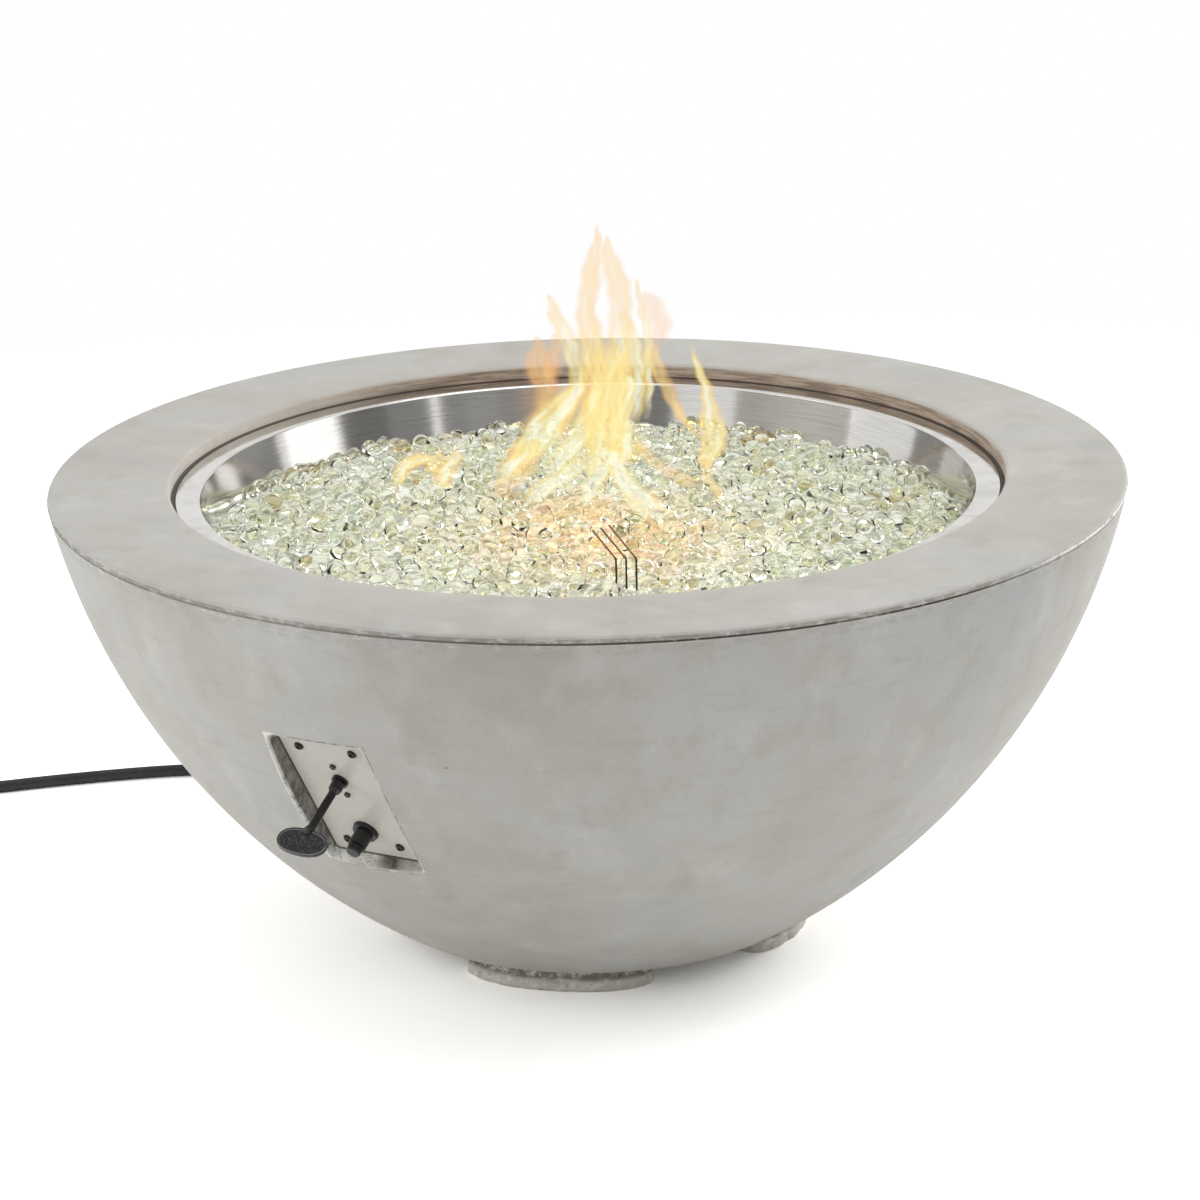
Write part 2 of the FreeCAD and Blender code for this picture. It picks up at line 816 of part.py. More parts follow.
def valve():
    """A quarter turn plug valve behind the panel: a tapered plug with a hole across it,
    whose stem comes out in front, where the key turns it."""
    front = d.valve_set_back
    half, fit = d.plug_half, 0.05
    body = new_body("valve_body", VALVE)
    barrel = new_sketch(body, "BarrelOutline", "YZ_Plane", lifted(-32))
    add_circle(barrel, as_size(0), as_size(0), as_size(11))
    pad(body, barrel, as_size(68), "Barrel")
    boss = new_sketch(body, "BossOutline", "XY_Plane", lifted(-float(half) - 3))
    add_circle(boss, as_size(0), as_size(0), d.plug_large + 5)
    pad(body, boss, 2 * half + 5, "Boss")
    bonnet = new_sketch(body, "BonnetOutline", "XY_Plane", lifted(half))
    add_circle(bonnet, as_size(0), as_size(0), as_size(9))
    pad(body, bonnet, front - d.panel_sheet - half, "Bonnet")
    ears = new_sketch(body, "EarOutline", "XY_Plane", lifted(front - d.panel_sheet - 4))
    add_loop(ears, rounded_rectangle(as_size(20), as_size(52), as_size(5)))
    for up in (-VALVE_SCREW_PITCH, VALVE_SCREW_PITCH):
        add_circle(ears, as_size(0), as_size(up), as_size(1.6))
    pad(body, ears, as_size(4), "Ears")
    collar = new_sketch(body, "CollarOutline", "XY_Plane", lifted(front - d.panel_sheet))
    add_circle(collar, as_size(0), as_size(0), d.stem_radius + 1.5)
    pad(body, collar, d.panel_sheet, "Collar")
    seat = new_sketch(body, "PlugSeatOutline", "XZ_Plane")
    add_loop(
        seat,
        [
            (as_size(0), -half - 4),
            (d.plug_large + 0.4, -half - 4),
            (d.plug_large + 0.4, -half),
            (d.plug_large, -half),
            (d.plug_small, half),
            (d.stem_radius + fit, half),
            (d.stem_radius + fit, front + 1),
            (as_size(0), front + 1),
        ],
    )
    groove = body.newObject("PartDesign::Groove", "PlugSeat")
    groove.Profile = seat
    groove.ReferenceAxis = (seat, ["V_Axis"])
    groove.Angle = 360
    passage = new_sketch(body, "PassageOutline", "YZ_Plane", lifted(-33))
    add_circle(passage, as_size(0), as_size(0), d.gas_bore)
    pocket(body, passage, as_size(70), "Passage", upward=True)

    plug = new_body("valve_plug", CORE)
    square_end = front + 9.5
    turn(
        plug,
        [
            (as_size(0), -half),
            (d.plug_large - fit, -half),
            (d.plug_small - fit, half - 0.1),
            (d.stem_radius, half - 0.1),
            (d.stem_radius, square_end - 7),
            (as_size(0), square_end - 7),
        ],
    )
    tip = new_sketch(plug, "SquareOutline", "XY_Plane", lifted(square_end - 7))
    add_loop(tip, rectangle(d.stem_square, d.stem_square))
    pad(plug, tip, as_size(7), "Square")
    hole = new_sketch(plug, "PlugHoleOutline", "YZ_Plane", lifted(-15))
    add_circle(hole, as_size(0), as_size(0), d.gas_bore)
    pocket(plug, hole, as_size(30), "PlugHole", upward=True)

    turned_part(
        "valve_cap",
        [
            (as_size(0), -half - 6),
            (d.plug_large + 3.4, -half - 6),
            (d.plug_large + 3.4, -half - 3),
            (d.plug_large + 0.35, -half - 3),
            (d.plug_large + 0.35, -half - 0.1),
            (as_size(0), -half - 0.1),
        ],
        VALVE,
    )
    turned_part(
        "valve_gland",
        washer_outline(d.stem_radius + 0.08, as_size(8), front, front + 2.8),
        VALVE,
    )
    small = screw("valve_screw", as_size(5.6), as_size(2), as_size(2.7), as_size(6))
    face = within(VALVE, 0, 0, float(front))
    ears = [within(face, 0, y, 0) for y in (-VALVE_SCREW_PITCH, VALVE_SCREW_PITCH)]
    copies("valve_screws", small, ears)
    return front


def oval(width, height, end_radius):
    """Corners of a four arc oval about the origin, and its two radii in turn."""
    a, b = width / 2, height / 2
    flank = ((a - end_radius) ** 2 + b**2 - end_radius**2) / (2 * (b - end_radius))
    lean = math.hypot(a - end_radius, flank - b)
    x = a - end_radius + end_radius * (a - end_radius) / lean
    y = end_radius * (flank - b) / lean
    return x, y, flank


def valve_key(front):
    """A long key whose square socket drops over the stem; its head is a flat oval."""
    key = new_body("valve_key", CORE)
    foot = front + 3.1
    head = front + d.key_reach
    bottom = head - d.key_depth / 2
    turn(
        key,
        [
            (as_size(0), foot),
            (d.key_socket, foot),
            (d.key_socket, foot + 8.2),
            (d.key_shaft, foot + 10.5),
            (d.key_shaft, bottom - 3),
            (d.key_shaft + 2.2, bottom + 1.5),
            (d.key_shaft, bottom + 8),
            (as_size(0), bottom + 8),
        ],
        "Shaft",
    )
    width, height = float(d.key_width), float(d.key_depth)
    for name, inset, depth in (("Head", 0.0, 0.0), ("FaceFront", 1.0, 1.0), ("FaceBack", 1.0, -1.0)):
        border = inset * float(d.key_border)
        x, y, flank = oval(width - 2 * border, height - 2 * border, 10 - border)
        half = float(d.key_thickness) / 2
        offset = lifted(-half if depth == 0 else depth * half)
        sketch = new_sketch(key, name + "Outline", "XZ_Plane", offset)
        corners = [(x, -y), (x, y), (-x, y), (-x, -y)]
        rounds = (10 - border, flank, 10 - border, flank)
        add_loop(
            sketch,
            [(as_size(cx), head + cy, r, 1) for (cx, cy), r in zip(corners, rounds)],
        )
        if depth == 0:
            pad(key, sketch, d.key_thickness, name)
        else:
            pocket(key, sketch, as_size(0.9), name, upward=depth < 0)
    socket = new_sketch(key, "SocketOutline", "XY_Plane", lifted(foot))
    add_loop(socket, rectangle(d.stem_square + 0.2, d.stem_square + 0.2))
    pocket(key, socket, as_size(6.8), "Socket", upward=True)


def gas_lines(low):
    """Brass elbows on both sides of the valve, and the line from it to the mixer."""
    outer, bore = float(d.fitting_radius), float(d.gas_bore)
    leg, drop = 16.0, 36.0
    corner = [Vector(leg, 0, 0), Vector(0, 0, 0), Vector(0, -drop, 0)]
    spine = Part.makePolygon(corner)
    walls = []
    for radius in (outer, bore):
        section = Part.Wire([Part.makeCircle(radius, corner[0], Vector(1, 0, 0))])
        walls.append(spine.makePipeShell([section], True, False, 1))
    elbow = walls[0].cut(walls[1])
    half_turn = Rotation(Vector(0, 1, 0), 180)
    inlet_at = VALVE.multiply(Placement(Vector(-32 - leg, 0, 0), Rotation()))
    outlet_at = VALVE.multiply(Placement(Vector(36 + leg, 0, 0), half_turn))
    node = doc.addObject("Part::Feature", "gas_elbows")
    shapes = []
    for place in (inlet_at, outlet_at):
        shape = elbow.copy()
        shape.Placement = place
        shapes.append(shape)
    node.Shape = Part.makeCompound(shapes)
    keep("gas_elbows", node)

    nut = master_part("flare_nut")
    sketch = new_sketch(nut, "FlareNutOutline")
    add_loop(sketch, hexagon(as_size(23)))
    add_circle(sketch, as_size(0), as_size(0), d.fitting_radius + 0.1)
    pad(nut, sketch, as_size(16))
    collar = Placement(Vector(0, -26, 0), DOWNWARD.Rotation)
    copies(
        "flare_nuts", nut, [inlet_at.multiply(collar), outlet_at.multiply(collar), lifted(low - 26)]
    )

    inlet = [inlet_at.multVec(p) for p in corner]
    outlet = [outlet_at.multVec(p) for p in corner]
    start = outlet[-1]
    down = (outlet[-1] - outlet[-2]).normalize()
    line = [
        start,
        start + down * 68,
        Vector(-98, -240, 152),
        Vector(-45, -112, 112),
        Vector(0, 0, 122),
        Vector(0, 0, float(low) - 22),
    ]
    tube_part("gas_flex_line", line, d.flex_radius, sides=10)
    return inlet


def igniter():
    """A push button spark generator with its battery, held in the panel by a nut."""
    place = within(PANEL, float(d.igniter_across), -float(d.igniter_down), 0)
    turned_part(
        "igniter_body",
        [
            (as_size(0), as_size(-66)),
            (d.igniter_case, as_size(-66)),
            (d.igniter_case, as_size(-14)),
            (d.igniter_neck, as_size(-14)),
            (d.igniter_neck, as_size(0)),
            (d.igniter_flange, as_size(0)),
            (d.igniter_flange - 1, as_size(4)),
            (as_size(5.6), as_size(4)),
            (as_size(5.6), as_size(-63)),
            (as_size(0), as_size(-63)),
        ],
        place,
    )
    nut = place.multiply(Placement(Vector(0, 0, -float(d.panel_sheet) - 5), Rotation()))
    hex_part("igniter_nut", as_size(22), d.igniter_neck + 0.1, as_size(5), nut)
    cap = new_body("igniter_cap", place)
    turn(
        cap,
        [
            (d.button_radius + 0.25, as_size(4)),
            (d.cap_radius, as_size(4)),
            (d.cap_radius, d.cap_reach),
            (d.button_radius + 0.25, d.cap_reach),
        ],
    )
    turned_part(
        "igniter_button",
        [
            (as_size(0), as_size(9.5)),
            (d.button_radius, as_size(9.5)),
            (d.button_radius, d.button_reach - 1.2),
            (d.button_radius - 1.2, d.button_reach),
            (as_size(0), d.button_reach),
        ],
        place,
    )
    turned_part(
        "igniter_switch",
        [
            (as_size(0), as_size(-5.9)),
            (as_size(5.4), as_size(-5.9)),
            (as_size(5.4), as_size(4.8)),
            (as_size(0), as_size(4.8)),
        ],
        place,
    )
    turned_part(
        "battery",
        [
            (as_size(0), as_size(-50.5)),
            (as_size(5.25), as_size(-50.5)),
            (as_size(5.25), as_size(-6)),
            (as_size(0), as_size(-6)),
        ],
        place,
    )
    contact = new_body("battery_contact", place)
    leaf = new_sketch(contact, "LeafOutline", "XZ_Plane", lifted(-3))
    add_loop(
        leaf,
        [
            (as_size(-4), as_size(-63)),
            (as_size(4), as_size(-63)),
            (as_size(4), as_size(-62.4)),
            (as_size(-3), as_size(-62.4)),
            (as_size(2), as_size(-50.5)),
            (as_size(1.3), as_size(-50.5)),
        ],
    )
    pad(contact, leaf, as_size(6))
    return place


def electrodes(place):
    """Three bent wires in ceramic tubes: one sparks, one is earthed, one senses flame."""
    floor = float(d.total_height - d.lip_drop - d.pan_depth)
    middle, y = float(d.electrode_x), float(d.electrode_y)
    pitch = float(d.electrode_pitch)
    bend_height = float(d.total_height) - 22
    lean = Vector(-math.cos(math.radians(30)), math.sin(math.radians(30)), 1.0)
    spots = []
    for name, step in (("sensing_electrode", -1), ("ground_electrode", 0), ("spark_electrode", 1)):
        foot = Vector(middle + step * pitch, y, floor - 34)
        bend = Vector(foot.x, foot.y, bend_height)
        tip = bend + lean * (27 + 2 * step)
        setback = 3.0
        towards = (tip - bend).normalize()
        half_turn = Vector(0, 0, 1).getAngle(towards) / 2
        radius = setback / math.tan(half_turn)
        start, end = bend - Vector(0, 0, setback), bend + towards * setback
        inward = ((start + end) * 0.5 - bend).normalize()
        crest = bend + inward * (radius / math.cos(half_turn) - radius)
        wire = Part.Wire(
            [
                Part.LineSegment(foot, start).toShape(),
                Part.Arc(start, crest, end).toShape(),
                Part.LineSegment(end, tip).toShape(),
            ]
        )
        node = doc.addObject("Part::Feature", name)
        node.Shape = tube_shape(wire, [foot, start], float(d.electrode_wire))
        keep(name, node)
        spots.append(foot)

    sleeve = master_part("insulator")
    turn(
        sleeve,
        washer_outline(d.electrode_wire + 0.05, d.insulator_radius, as_size(0), as_size(62)),
    )
    copies(
        "electrode_insulators",
        sleeve,
        [Placement(Vector(s.x, s.y, floor - 28), Rotation()) for s in spots],
    )
    bracket = new_body("electrode_bracket", Placement(Vector(middle, y, floor), Rotation()))
    sketch = new_sketch(bracket, "BracketOutline")
    add_loop(sketch, rounded_rectangle(as_size(68), as_size(24), as_size(4)))
    for step in (-1, 0, 1):
        add_circle(sketch, d.electrode_pitch * step, as_size(0), d.insulator_radius + 0.1)
    for side in (-1, 1):
        add_circle(sketch, as_size(BRACKET_SCREW * side), as_size(0), as_size(2.0))
    pad(bracket, sketch, as_size(2))
    fixing = screw("bracket_screw", as_size(6.5), as_size(2.2), as_size(3.4), as_size(9))
    spots_x = [middle - BRACKET_SCREW, middle + BRACKET_SCREW]
    copies(
        "bracket_screws",
        fixing,
        [Placement(Vector(x, y, floor + 2), Rotation()) for x in spots_x],
    )

    leads = []
    for step, spot in zip((-1, 0, 1), spots):
        begin = place.multVec(Vector(6 * step, 0, -66))
        inward = place.Rotation.multVec(Vector(0, 0, -1))
        points = [
            begin,
            begin + inward * 45,
            Vector(-88 + 6 * step, -236 + 5 * step, 268),
            Vector(-18 + 6 * step, -222 + 3 * step, 262),
            Vector(spot.x, spot.y, 288),
            Vector(spot.x, spot.y, spot.z),
        ]
        wire, _ = path_through(points)
        leads.append(tube_shape(wire, points, 1.4, sides=6))
    node = doc.addObject("Part::Feature", "ignition_leads")
    node.Shape = Part.makeCompound(leads)
    keep("ignition_leads", node)


# The hose's route. Its first stretch is in the bowl, from the valve to the grommet.
GROMMET_FACE = 3.5
HOSE_ON_GROUND = [
    (-268, 374),
    (-357, 416),
    (-455, 424),
    (-567, 405),
    (-680, 375),
]
COIL_CENTRE = (-760.5, 266.2)
COIL_START = 107.6
TAIL_END = 152.0


def hose(inlet):
    radius = d.hose_radius
    grommet = new_body("hose_grommet", HOSE_EXIT)
    back = -d.wall - 0.4
    turn(
        grommet,
        [
            (radius + 0.05, back - 3),
            (d.grommet_flange, back - 3),
            (d.grommet_flange, back),
            (d.grommet_radius, back),
            (d.grommet_radius, as_size(0.1)),
            (d.grommet_flange, as_size(0.1)),
            (d.grommet_flange - 2, as_size(GROMMET_FACE)),
            (radius + 0.05, as_size(GROMMET_FACE)),
        ],
    )
    leaving = (inlet[-1] - inlet[-2]).normalize()
    start = inlet[-1]
    turned_part(
        "hose_ferrule_valve",
        washer_outline(radius + 0.05, as_size(9), as_size(0), as_size(24)),
        Placement(start, Rotation(Vector(0, 0, 1), leaving)),
    )
    exit_point = HOSE_EXIT.multVec(Vector(0, 0, GROMMET_FACE))
    tube_part(
        "hose_inner",
        [
            start,
            start + leaving * 75,
            Vector(-236, -190, 168),
            Vector(-222, -72, 146),
            Vector(-182, 48, 146),
            HOSE_EXIT.multVec(Vector(0, 0, -96)),
            exit_point,
        ],
        radius,
        sides=10,
    )

    level = float(radius) + 0.2
    centre = Vector(COIL_CENTRE[0], COIL_CENTRE[1], 0)
    large, small = float(d.coil_large), float(d.coil_small)
    angle = math.radians(COIL_START)
    joins = centre + Vector(large * math.cos(angle), large * math.sin(angle), level)
    landing = GROMMET_FACE + (exit_point.z - level) / math.sin(math.radians(float(d.hose_slope)))
    lands = HOSE_EXIT.multVec(Vector(0, 0, landing))
    route = [exit_point, lands] + [Vector(x, y, level) for x, y in HOSE_ON_GROUND] + [joins]
    tube_part("hose", route, radius)

    # The spare length, wound two turns wide and two high
    thick = radius * 2
    turned_part(
        "hose_coil",
        washer_outline(
            d.coil_small - radius, d.coil_large + radius, as_size(0.2), 2 * thick + 0.2
        ),
        Placement(centre, Rotation()),
    )
    axis = float(d.regulator_axis)
    leaves = centre + Vector(-large, 0, level + float(thick))
    third = (leaves.y - TAIL_END) / 3
    tail_end = Vector(leaves.x, TAIL_END, axis)
    tail = [
        leaves,
        Vector(leaves.x + 0.4, leaves.y - third, leaves.z + 1),
        Vector(leaves.x, TAIL_END + third, axis),
        tail_end,
    ]
    tube_part("hose_tail", tail, radius)
    return tail_end


def regulator(tail_end):
    """Turns the tank's pressure down. It lies on the ground at the end of the hose."""
    radius = d.hose_radius
    towards_tank = Rotation(Vector(0, 0, 1), Vector(0, -1, 0))
    sleeve = Placement(tail_end + Vector(0, 20, 0), towards_tank)
    turned_part(
        "hose_ferrule_regulator",
        washer_outline(radius + 0.05, as_size(9), as_size(0), as_size(20)),
        sleeve,
    )
    centre = tail_end - Vector(0, 44, 0)
    axis = d.regulator_axis
    body = new_body("regulator_body", Placement(centre, Rotation()))
    wide = d.regulator_radius
    turn(
        body,
        [
            (as_size(0), 0.2 - axis),
            (wide * 0.55, 0.2 - axis),
            (wide * 0.8, as_size(-16)),
            (wide * 0.8, as_size(8)),
            (wide, as_size(8)),
            (wide, as_size(12)),
            (as_size(0), as_size(12)),
        ],
        "Bell",
    )
    for name, size, length, forward in (("Outlet", 17.0, 44.0, False), ("Inlet", 22.0, 42.0, True)):
        boss = new_sketch(body, name + "Outline", "XZ_Plane")
        add_loop(boss, hexagon(as_size(size)))
        pad(body, boss, as_size(length), name, downward=not forward)

    cover = new_body("regulator_cover", Placement(centre, Rotation()))
    turn(
        cover,
        [
            (as_size(0), as_size(12)),
            (wide, as_size(12)),
            (wide, as_size(16)),
            (wide * 0.8, as_size(16)),
            (wide * 0.7, as_size(24)),
            (wide * 0.55, as_size(26)),
            (as_size(0), as_size(26)),
        ],
    )
    vent = new_body("regulator_vent", Placement(centre + Vector(0, 0, 26), Rotation()))
    turn(
        vent,
        [
            (as_size(0), as_size(0)),
            (as_size(9), as_size(0)),
            (as_size(8), as_size(4.5)),
            (as_size(0), as_size(4.5)),
        ],
    )

    # The hand nut turns freely on the probe, which seals in the tank's valve
    mouth = Placement(centre - Vector(0, 42, 0), towards_tank)
    turned_part(
        "coupling_probe",
        [
            (as_size(0), as_size(0)),
            (as_size(8), as_size(0)),
            (as_size(8), as_size(12)),
            (as_size(12), as_size(12)),
            (as_size(12), as_size(17)),
            (as_size(7), as_size(17)),
            (as_size(7), as_size(30)),
            (as_size(4), as_size(36)),
            (as_size(0), as_size(36)),
        ],
        mouth,
    )
    nut = new_body("coupling_nut", mouth)
    ridges = new_sketch(nut, "NutOutline", "XY_Plane", lifted(6))
    tooth, count = d.coupling_radius, 16
    corners = []
    for k in range(count):
        turn_by = 2 * math.pi * (k + 0.5) / count
        reach = tooth if k % 2 == 0 else tooth - 2.2
        corners.append((reach * math.cos(turn_by), reach * math.sin(turn_by)))
    add_loop(ridges, corners)
    pad(nut, ridges, as_size(32), "Ridges")
    inside = new_sketch(nut, "NutInsideOutline", "XZ_Plane")
    add_loop(
        inside,
        [
            (as_size(0), as_size(5)),
            (as_size(8.1), as_size(5)),
            (as_size(8.1), as_size(11.6)),
            (as_size(16.7), as_size(11.6)),
            (as_size(16.7), as_size(39)),
            (as_size(0), as_size(39)),
        ],
    )
    hollow = nut.newObject("PartDesign::Groove", "NutInside")
    hollow.Profile = inside
    hollow.ReferenceAxis = (inside, ["V_Axis"])
    hollow.Angle = 360


concrete_bowl()
control_panel()
burner_pan()
gem_bed()
mixer_low = burner()
valve_key(valve())
hose_inlet = gas_lines(mixer_low)
electrodes(igniter())
regulator(hose(hose_inlet))
doc.recompute()

faults = [o.Label for o in doc.Objects if {"Invalid", "Error"} & set(o.State)]
for label, thing in nodes.items():
    shape = thing.Shape
    if shape.isNull() or not shape.isValid() or not shape.Solids:
        faults.append(label)
if faults:
    raise SystemExit(f"these objects failed: {faults}")

os.makedirs("parts", exist_ok=True)
for label, thing in nodes.items():
    thing.Shape.exportStep(f"parts/{label}.step")
print(f"{len(nodes)} parts written")
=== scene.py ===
# %% [markdown]
# # A concrete fire pit, dressed in Blender
#
# The solids of this fire pit come from a CAD model: a cast concrete bowl, a
# steel pan of glass gems, a control panel with a key and an igniter, and a gas
# hose. They are loaded first and never moved. Everything below gives them their
# surfaces, and swaps the plainest of them for meshes with rounder edges and
# finer detail. Lengths are in metres, and MM turns millimetres into metres.

# %% Load the frame
import json
import math

import bmesh
import bpy
import numpy as np
from mathutils import Matrix, Vector, noise


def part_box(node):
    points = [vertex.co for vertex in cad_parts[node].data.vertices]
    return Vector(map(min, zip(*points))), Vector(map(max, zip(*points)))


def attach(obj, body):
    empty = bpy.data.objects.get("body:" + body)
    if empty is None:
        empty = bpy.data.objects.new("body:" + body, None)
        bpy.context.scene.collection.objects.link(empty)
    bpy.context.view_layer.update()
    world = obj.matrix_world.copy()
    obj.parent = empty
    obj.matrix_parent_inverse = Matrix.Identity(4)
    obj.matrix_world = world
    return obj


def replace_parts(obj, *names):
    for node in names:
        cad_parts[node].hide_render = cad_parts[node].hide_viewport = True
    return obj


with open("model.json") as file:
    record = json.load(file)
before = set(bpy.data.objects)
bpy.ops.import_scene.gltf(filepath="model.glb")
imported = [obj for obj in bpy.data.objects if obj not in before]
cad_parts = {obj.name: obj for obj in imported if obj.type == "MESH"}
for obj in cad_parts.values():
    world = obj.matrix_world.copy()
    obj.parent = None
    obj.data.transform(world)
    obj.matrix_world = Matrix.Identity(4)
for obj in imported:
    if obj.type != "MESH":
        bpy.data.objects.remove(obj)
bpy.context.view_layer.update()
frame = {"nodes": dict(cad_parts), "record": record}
MM = 0.001

# %% [markdown]
# ## The camera
#
# The bowl was photographed from a little above, through a long lens, so its
# round rim shows as a flat ellipse. A camera's place can be given as a point and
# a turn, but it is easier to read as what it aims at, how high it stands, and
# how far off it is. It leans by about a degree, as a hand-held camera does.

# %% Camera
RIM_HEIGHT = 470 * MM
ELEVATION = math.radians(17.84)
LEAN = math.radians(-1.20)
DISTANCE = 3992.83 * MM
AIM_RIGHT, AIM_UP = 9.72 * MM, -130.85 * MM
FOCAL_LENGTH, SENSOR = 120.72, 36.0


def make_camera():
    data = bpy.data.cameras.new("camera")
    data.lens, data.sensor_width = FOCAL_LENGTH, SENSOR
    camera = bpy.data.objects.new("camera", data)
    bpy.context.scene.collection.objects.link(camera)
    ahead = Vector((0, math.cos(ELEVATION), -math.sin(ELEVATION)))
    right = Vector((1, 0, 0))
    up = right.cross(ahead)
    aim = Vector((0, 0, RIM_HEIGHT)) + right * AIM_RIGHT + up * AIM_UP
    turned_right = right * math.cos(LEAN) + up * math.sin(LEAN)
    turned_up = up * math.cos(LEAN) - right * math.sin(LEAN)
    axes = Matrix((turned_right, turned_up, -ahead)).transposed().to_4x4()
    camera.matrix_world = Matrix.Translation(aim - ahead * DISTANCE) @ axes
    bpy.context.scene.camera = camera
    return camera


camera = make_camera()
print("camera at", [round(c, 3) for c in camera.location])

# %% [markdown]
# ## The gas hose
#
# The hose comes out of a rubber grommet low in the bowl's back, drops straight
# to the ground and wanders off to the left. Only its first half metre shows in
# the photograph. The rest is wound up beyond the edge of the picture, with the
# pressure regulator on its end. A NURBS curve of low order follows its points
# closely and still bends as softly as rubber does, so the whole hose is one
# such curve, and the coil's turns are worked out by a loop.

# %% Where the hose runs
HOSE_RADIUS = 6.35 * MM
HOSE_LEVEL = HOSE_RADIUS + 0.2 * MM
GROMMET_FACE = 3.5 * MM
BOWL_ARC, ARC_HEIGHT, ARC_INSET = 690 * MM, 608.7 * MM, 142.51 * MM
HOSE_AZIMUTH, HOSE_SLOPE = -147, 50
HOSE_ON_GROUND = [(-268, 374), (-357, 416), (-455, 424), (-567, 405), (-680, 375)]
COIL_CENTRE = Vector((-760.5, 266.2, 0)) * MM
COIL_LARGE, COIL_SMALL = 79.4 * MM, 66.7 * MM
COIL_START, COIL_END = 107.6, 180 + 3 * 360
TAIL_END = Vector((-839.9, 152, 24.5)) * MM


def bowl_frame(azimuth, slope, inward=0.0):
    """A frame on the bowl's outside: X to the right, Y up along the wall, Z outward."""
    turn, fall = math.radians(azimuth), math.radians(slope)
    radial = Vector((math.sin(turn), -math.cos(turn), 0))
    out = radial * math.cos(fall) - Vector((0, 0, math.sin(fall)))
    across = Vector((math.cos(turn), math.sin(turn), 0))
    reach = BOWL_ARC * math.cos(fall) - ARC_INSET
    point = radial * reach + Vector((0, 0, ARC_HEIGHT - BOWL_ARC * math.sin(fall)))
    axes = Matrix((across, out.cross(across), out)).transposed().to_4x4()
    return Matrix.Translation(point - out * inward) @ axes


def ease(share):
    """Goes from 0 to 1 softly, and stays there."""
    share = min(1.0, max(0.0, share))
    return share * share * (3 - 2 * share)


hose_exit = bowl_frame(HOSE_AZIMUTH, HOSE_SLOPE)
exit_point = hose_exit @ Vector((0, 0, GROMMET_FACE))
fall = (exit_point.z - HOSE_LEVEL) / math.sin(math.radians(HOSE_SLOPE))
landing = hose_exit @ Vector((0, 0, GROMMET_FACE + fall))
print("the hose leaves the bowl at", [round(c, 3) for c in exit_point])

# %% [markdown]
# A tidy coil lies two turns wide and two high. The hose starts on the ground at
# the outer radius, moves in after a turn, climbs onto itself, and moves out
# again before it leaves. Each move is made where the neighbouring turn has
# already gone elsewhere, so that no stretch passes through another.

# %% The coil's turns
POINTS_PER_TURN = 24
MOVE_IN, CLIMB, MOVE_OUT = 370, 690, 1000
MOVE_ANGLE = 60


def coil_points():
    """Points of the wound length, from where it joins to where it leaves."""
    points = []
    steps = round((COIL_END - COIL_START) / 360 * POINTS_PER_TURN)
    widen = 1 / math.cos(math.pi / POINTS_PER_TURN)
    for step in range(steps + 1):
        angle = COIL_START + (COIL_END - COIL_START) * step / steps
        inside = ease((angle - MOVE_IN) / MOVE_ANGLE) - ease((angle - MOVE_OUT) / MOVE_ANGLE)
        radius = (COIL_LARGE + (COIL_SMALL - COIL_LARGE) * inside) * widen
        level = HOSE_LEVEL + 2 * HOSE_RADIUS * ease((angle - CLIMB) / MOVE_ANGLE)
        turn = math.radians(angle)
        points.append(COIL_CENTRE + Vector((radius * math.cos(turn), radius * math.sin(turn), level)))
    return points


def tail_points(leaving):
    """From the coil's top up to the regulator, which lies beside the coil."""
    third = (leaving.y - TAIL_END.y) / 3
    return [
        Vector((leaving.x + 0.4 * MM, leaving.y - third, leaving.z + 1 * MM)),
        Vector((leaving.x, TAIL_END.y + third, TAIL_END.z)),
        TAIL_END,
    ]


def hose_curve(name, points, radius):
    data = bpy.data.curves.new(name, "CURVE")
    data.dimensions = "3D"
    data.bevel_depth, data.bevel_resolution = 1.0, 7
    data.resolution_u = 10
    data.use_fill_caps = True
    spline = data.splines.new("NURBS")
    spline.points.add(len(points) - 1)
    for point, place in zip(spline.points, points):
        point.co = (*place, 1)
        point.radius = radius
    spline.order_u = 3
    spline.use_endpoint_u = True
    piece = bpy.data.objects.new(name, data)
    bpy.context.scene.collection.objects.link(piece)
    return piece


ground = [Vector((x * MM, y * MM, HOSE_LEVEL)) for x, y in HOSE_ON_GROUND]
turns = coil_points()
route = [exit_point, landing, *ground, *turns, *tail_points(turns[-1])]
gas_hose = hose_curve("gas_hose", route, HOSE_RADIUS)
print("hose of", len(route), "points")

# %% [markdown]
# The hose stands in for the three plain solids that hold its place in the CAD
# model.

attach(gas_hose, "fire_pit")
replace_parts(gas_hose, "hose", "hose_coil", "hose_tail")

# %% [markdown]
# ## Writing a shader as sums
#
# A finish is a small tree of nodes, and most of them are sums: this mask times
# that noise, plus a little grain. Wiring each Math node by hand hides the sum,
# so a Wire wraps one socket and lets Python's own signs add the nodes. A Finish
# holds the material that is being built, and makes any other node.

# %% Wires and finishes
class Wire:
    """A socket's value, which can be added, taken away, multiplied and divided."""

    def __init__(self, finish, socket):
        self.finish, self.socket = finish, socket

    def sum(self, operation, first, second):
        return self.finish.node("Math", {"operation": operation}, {0: first, 1: second})

    def __add__(self, other):
        return self.sum("ADD", self, other)

    def __radd__(self, other):
        return self.sum("ADD", other, self)

    def __sub__(self, other):
        return self.sum("SUBTRACT", self, other)

    def __rsub__(self, other):
        return self.sum("SUBTRACT", other, self)

    def __mul__(self, other):
        return self.sum("MULTIPLY", self, other)

    def __rmul__(self, other):
        return self.sum("MULTIPLY", other, self)

    def __truediv__(self, other):
        return self.sum("DIVIDE", self, other)

    def __pow__(self, other):
        return self.sum("POWER", self, other)


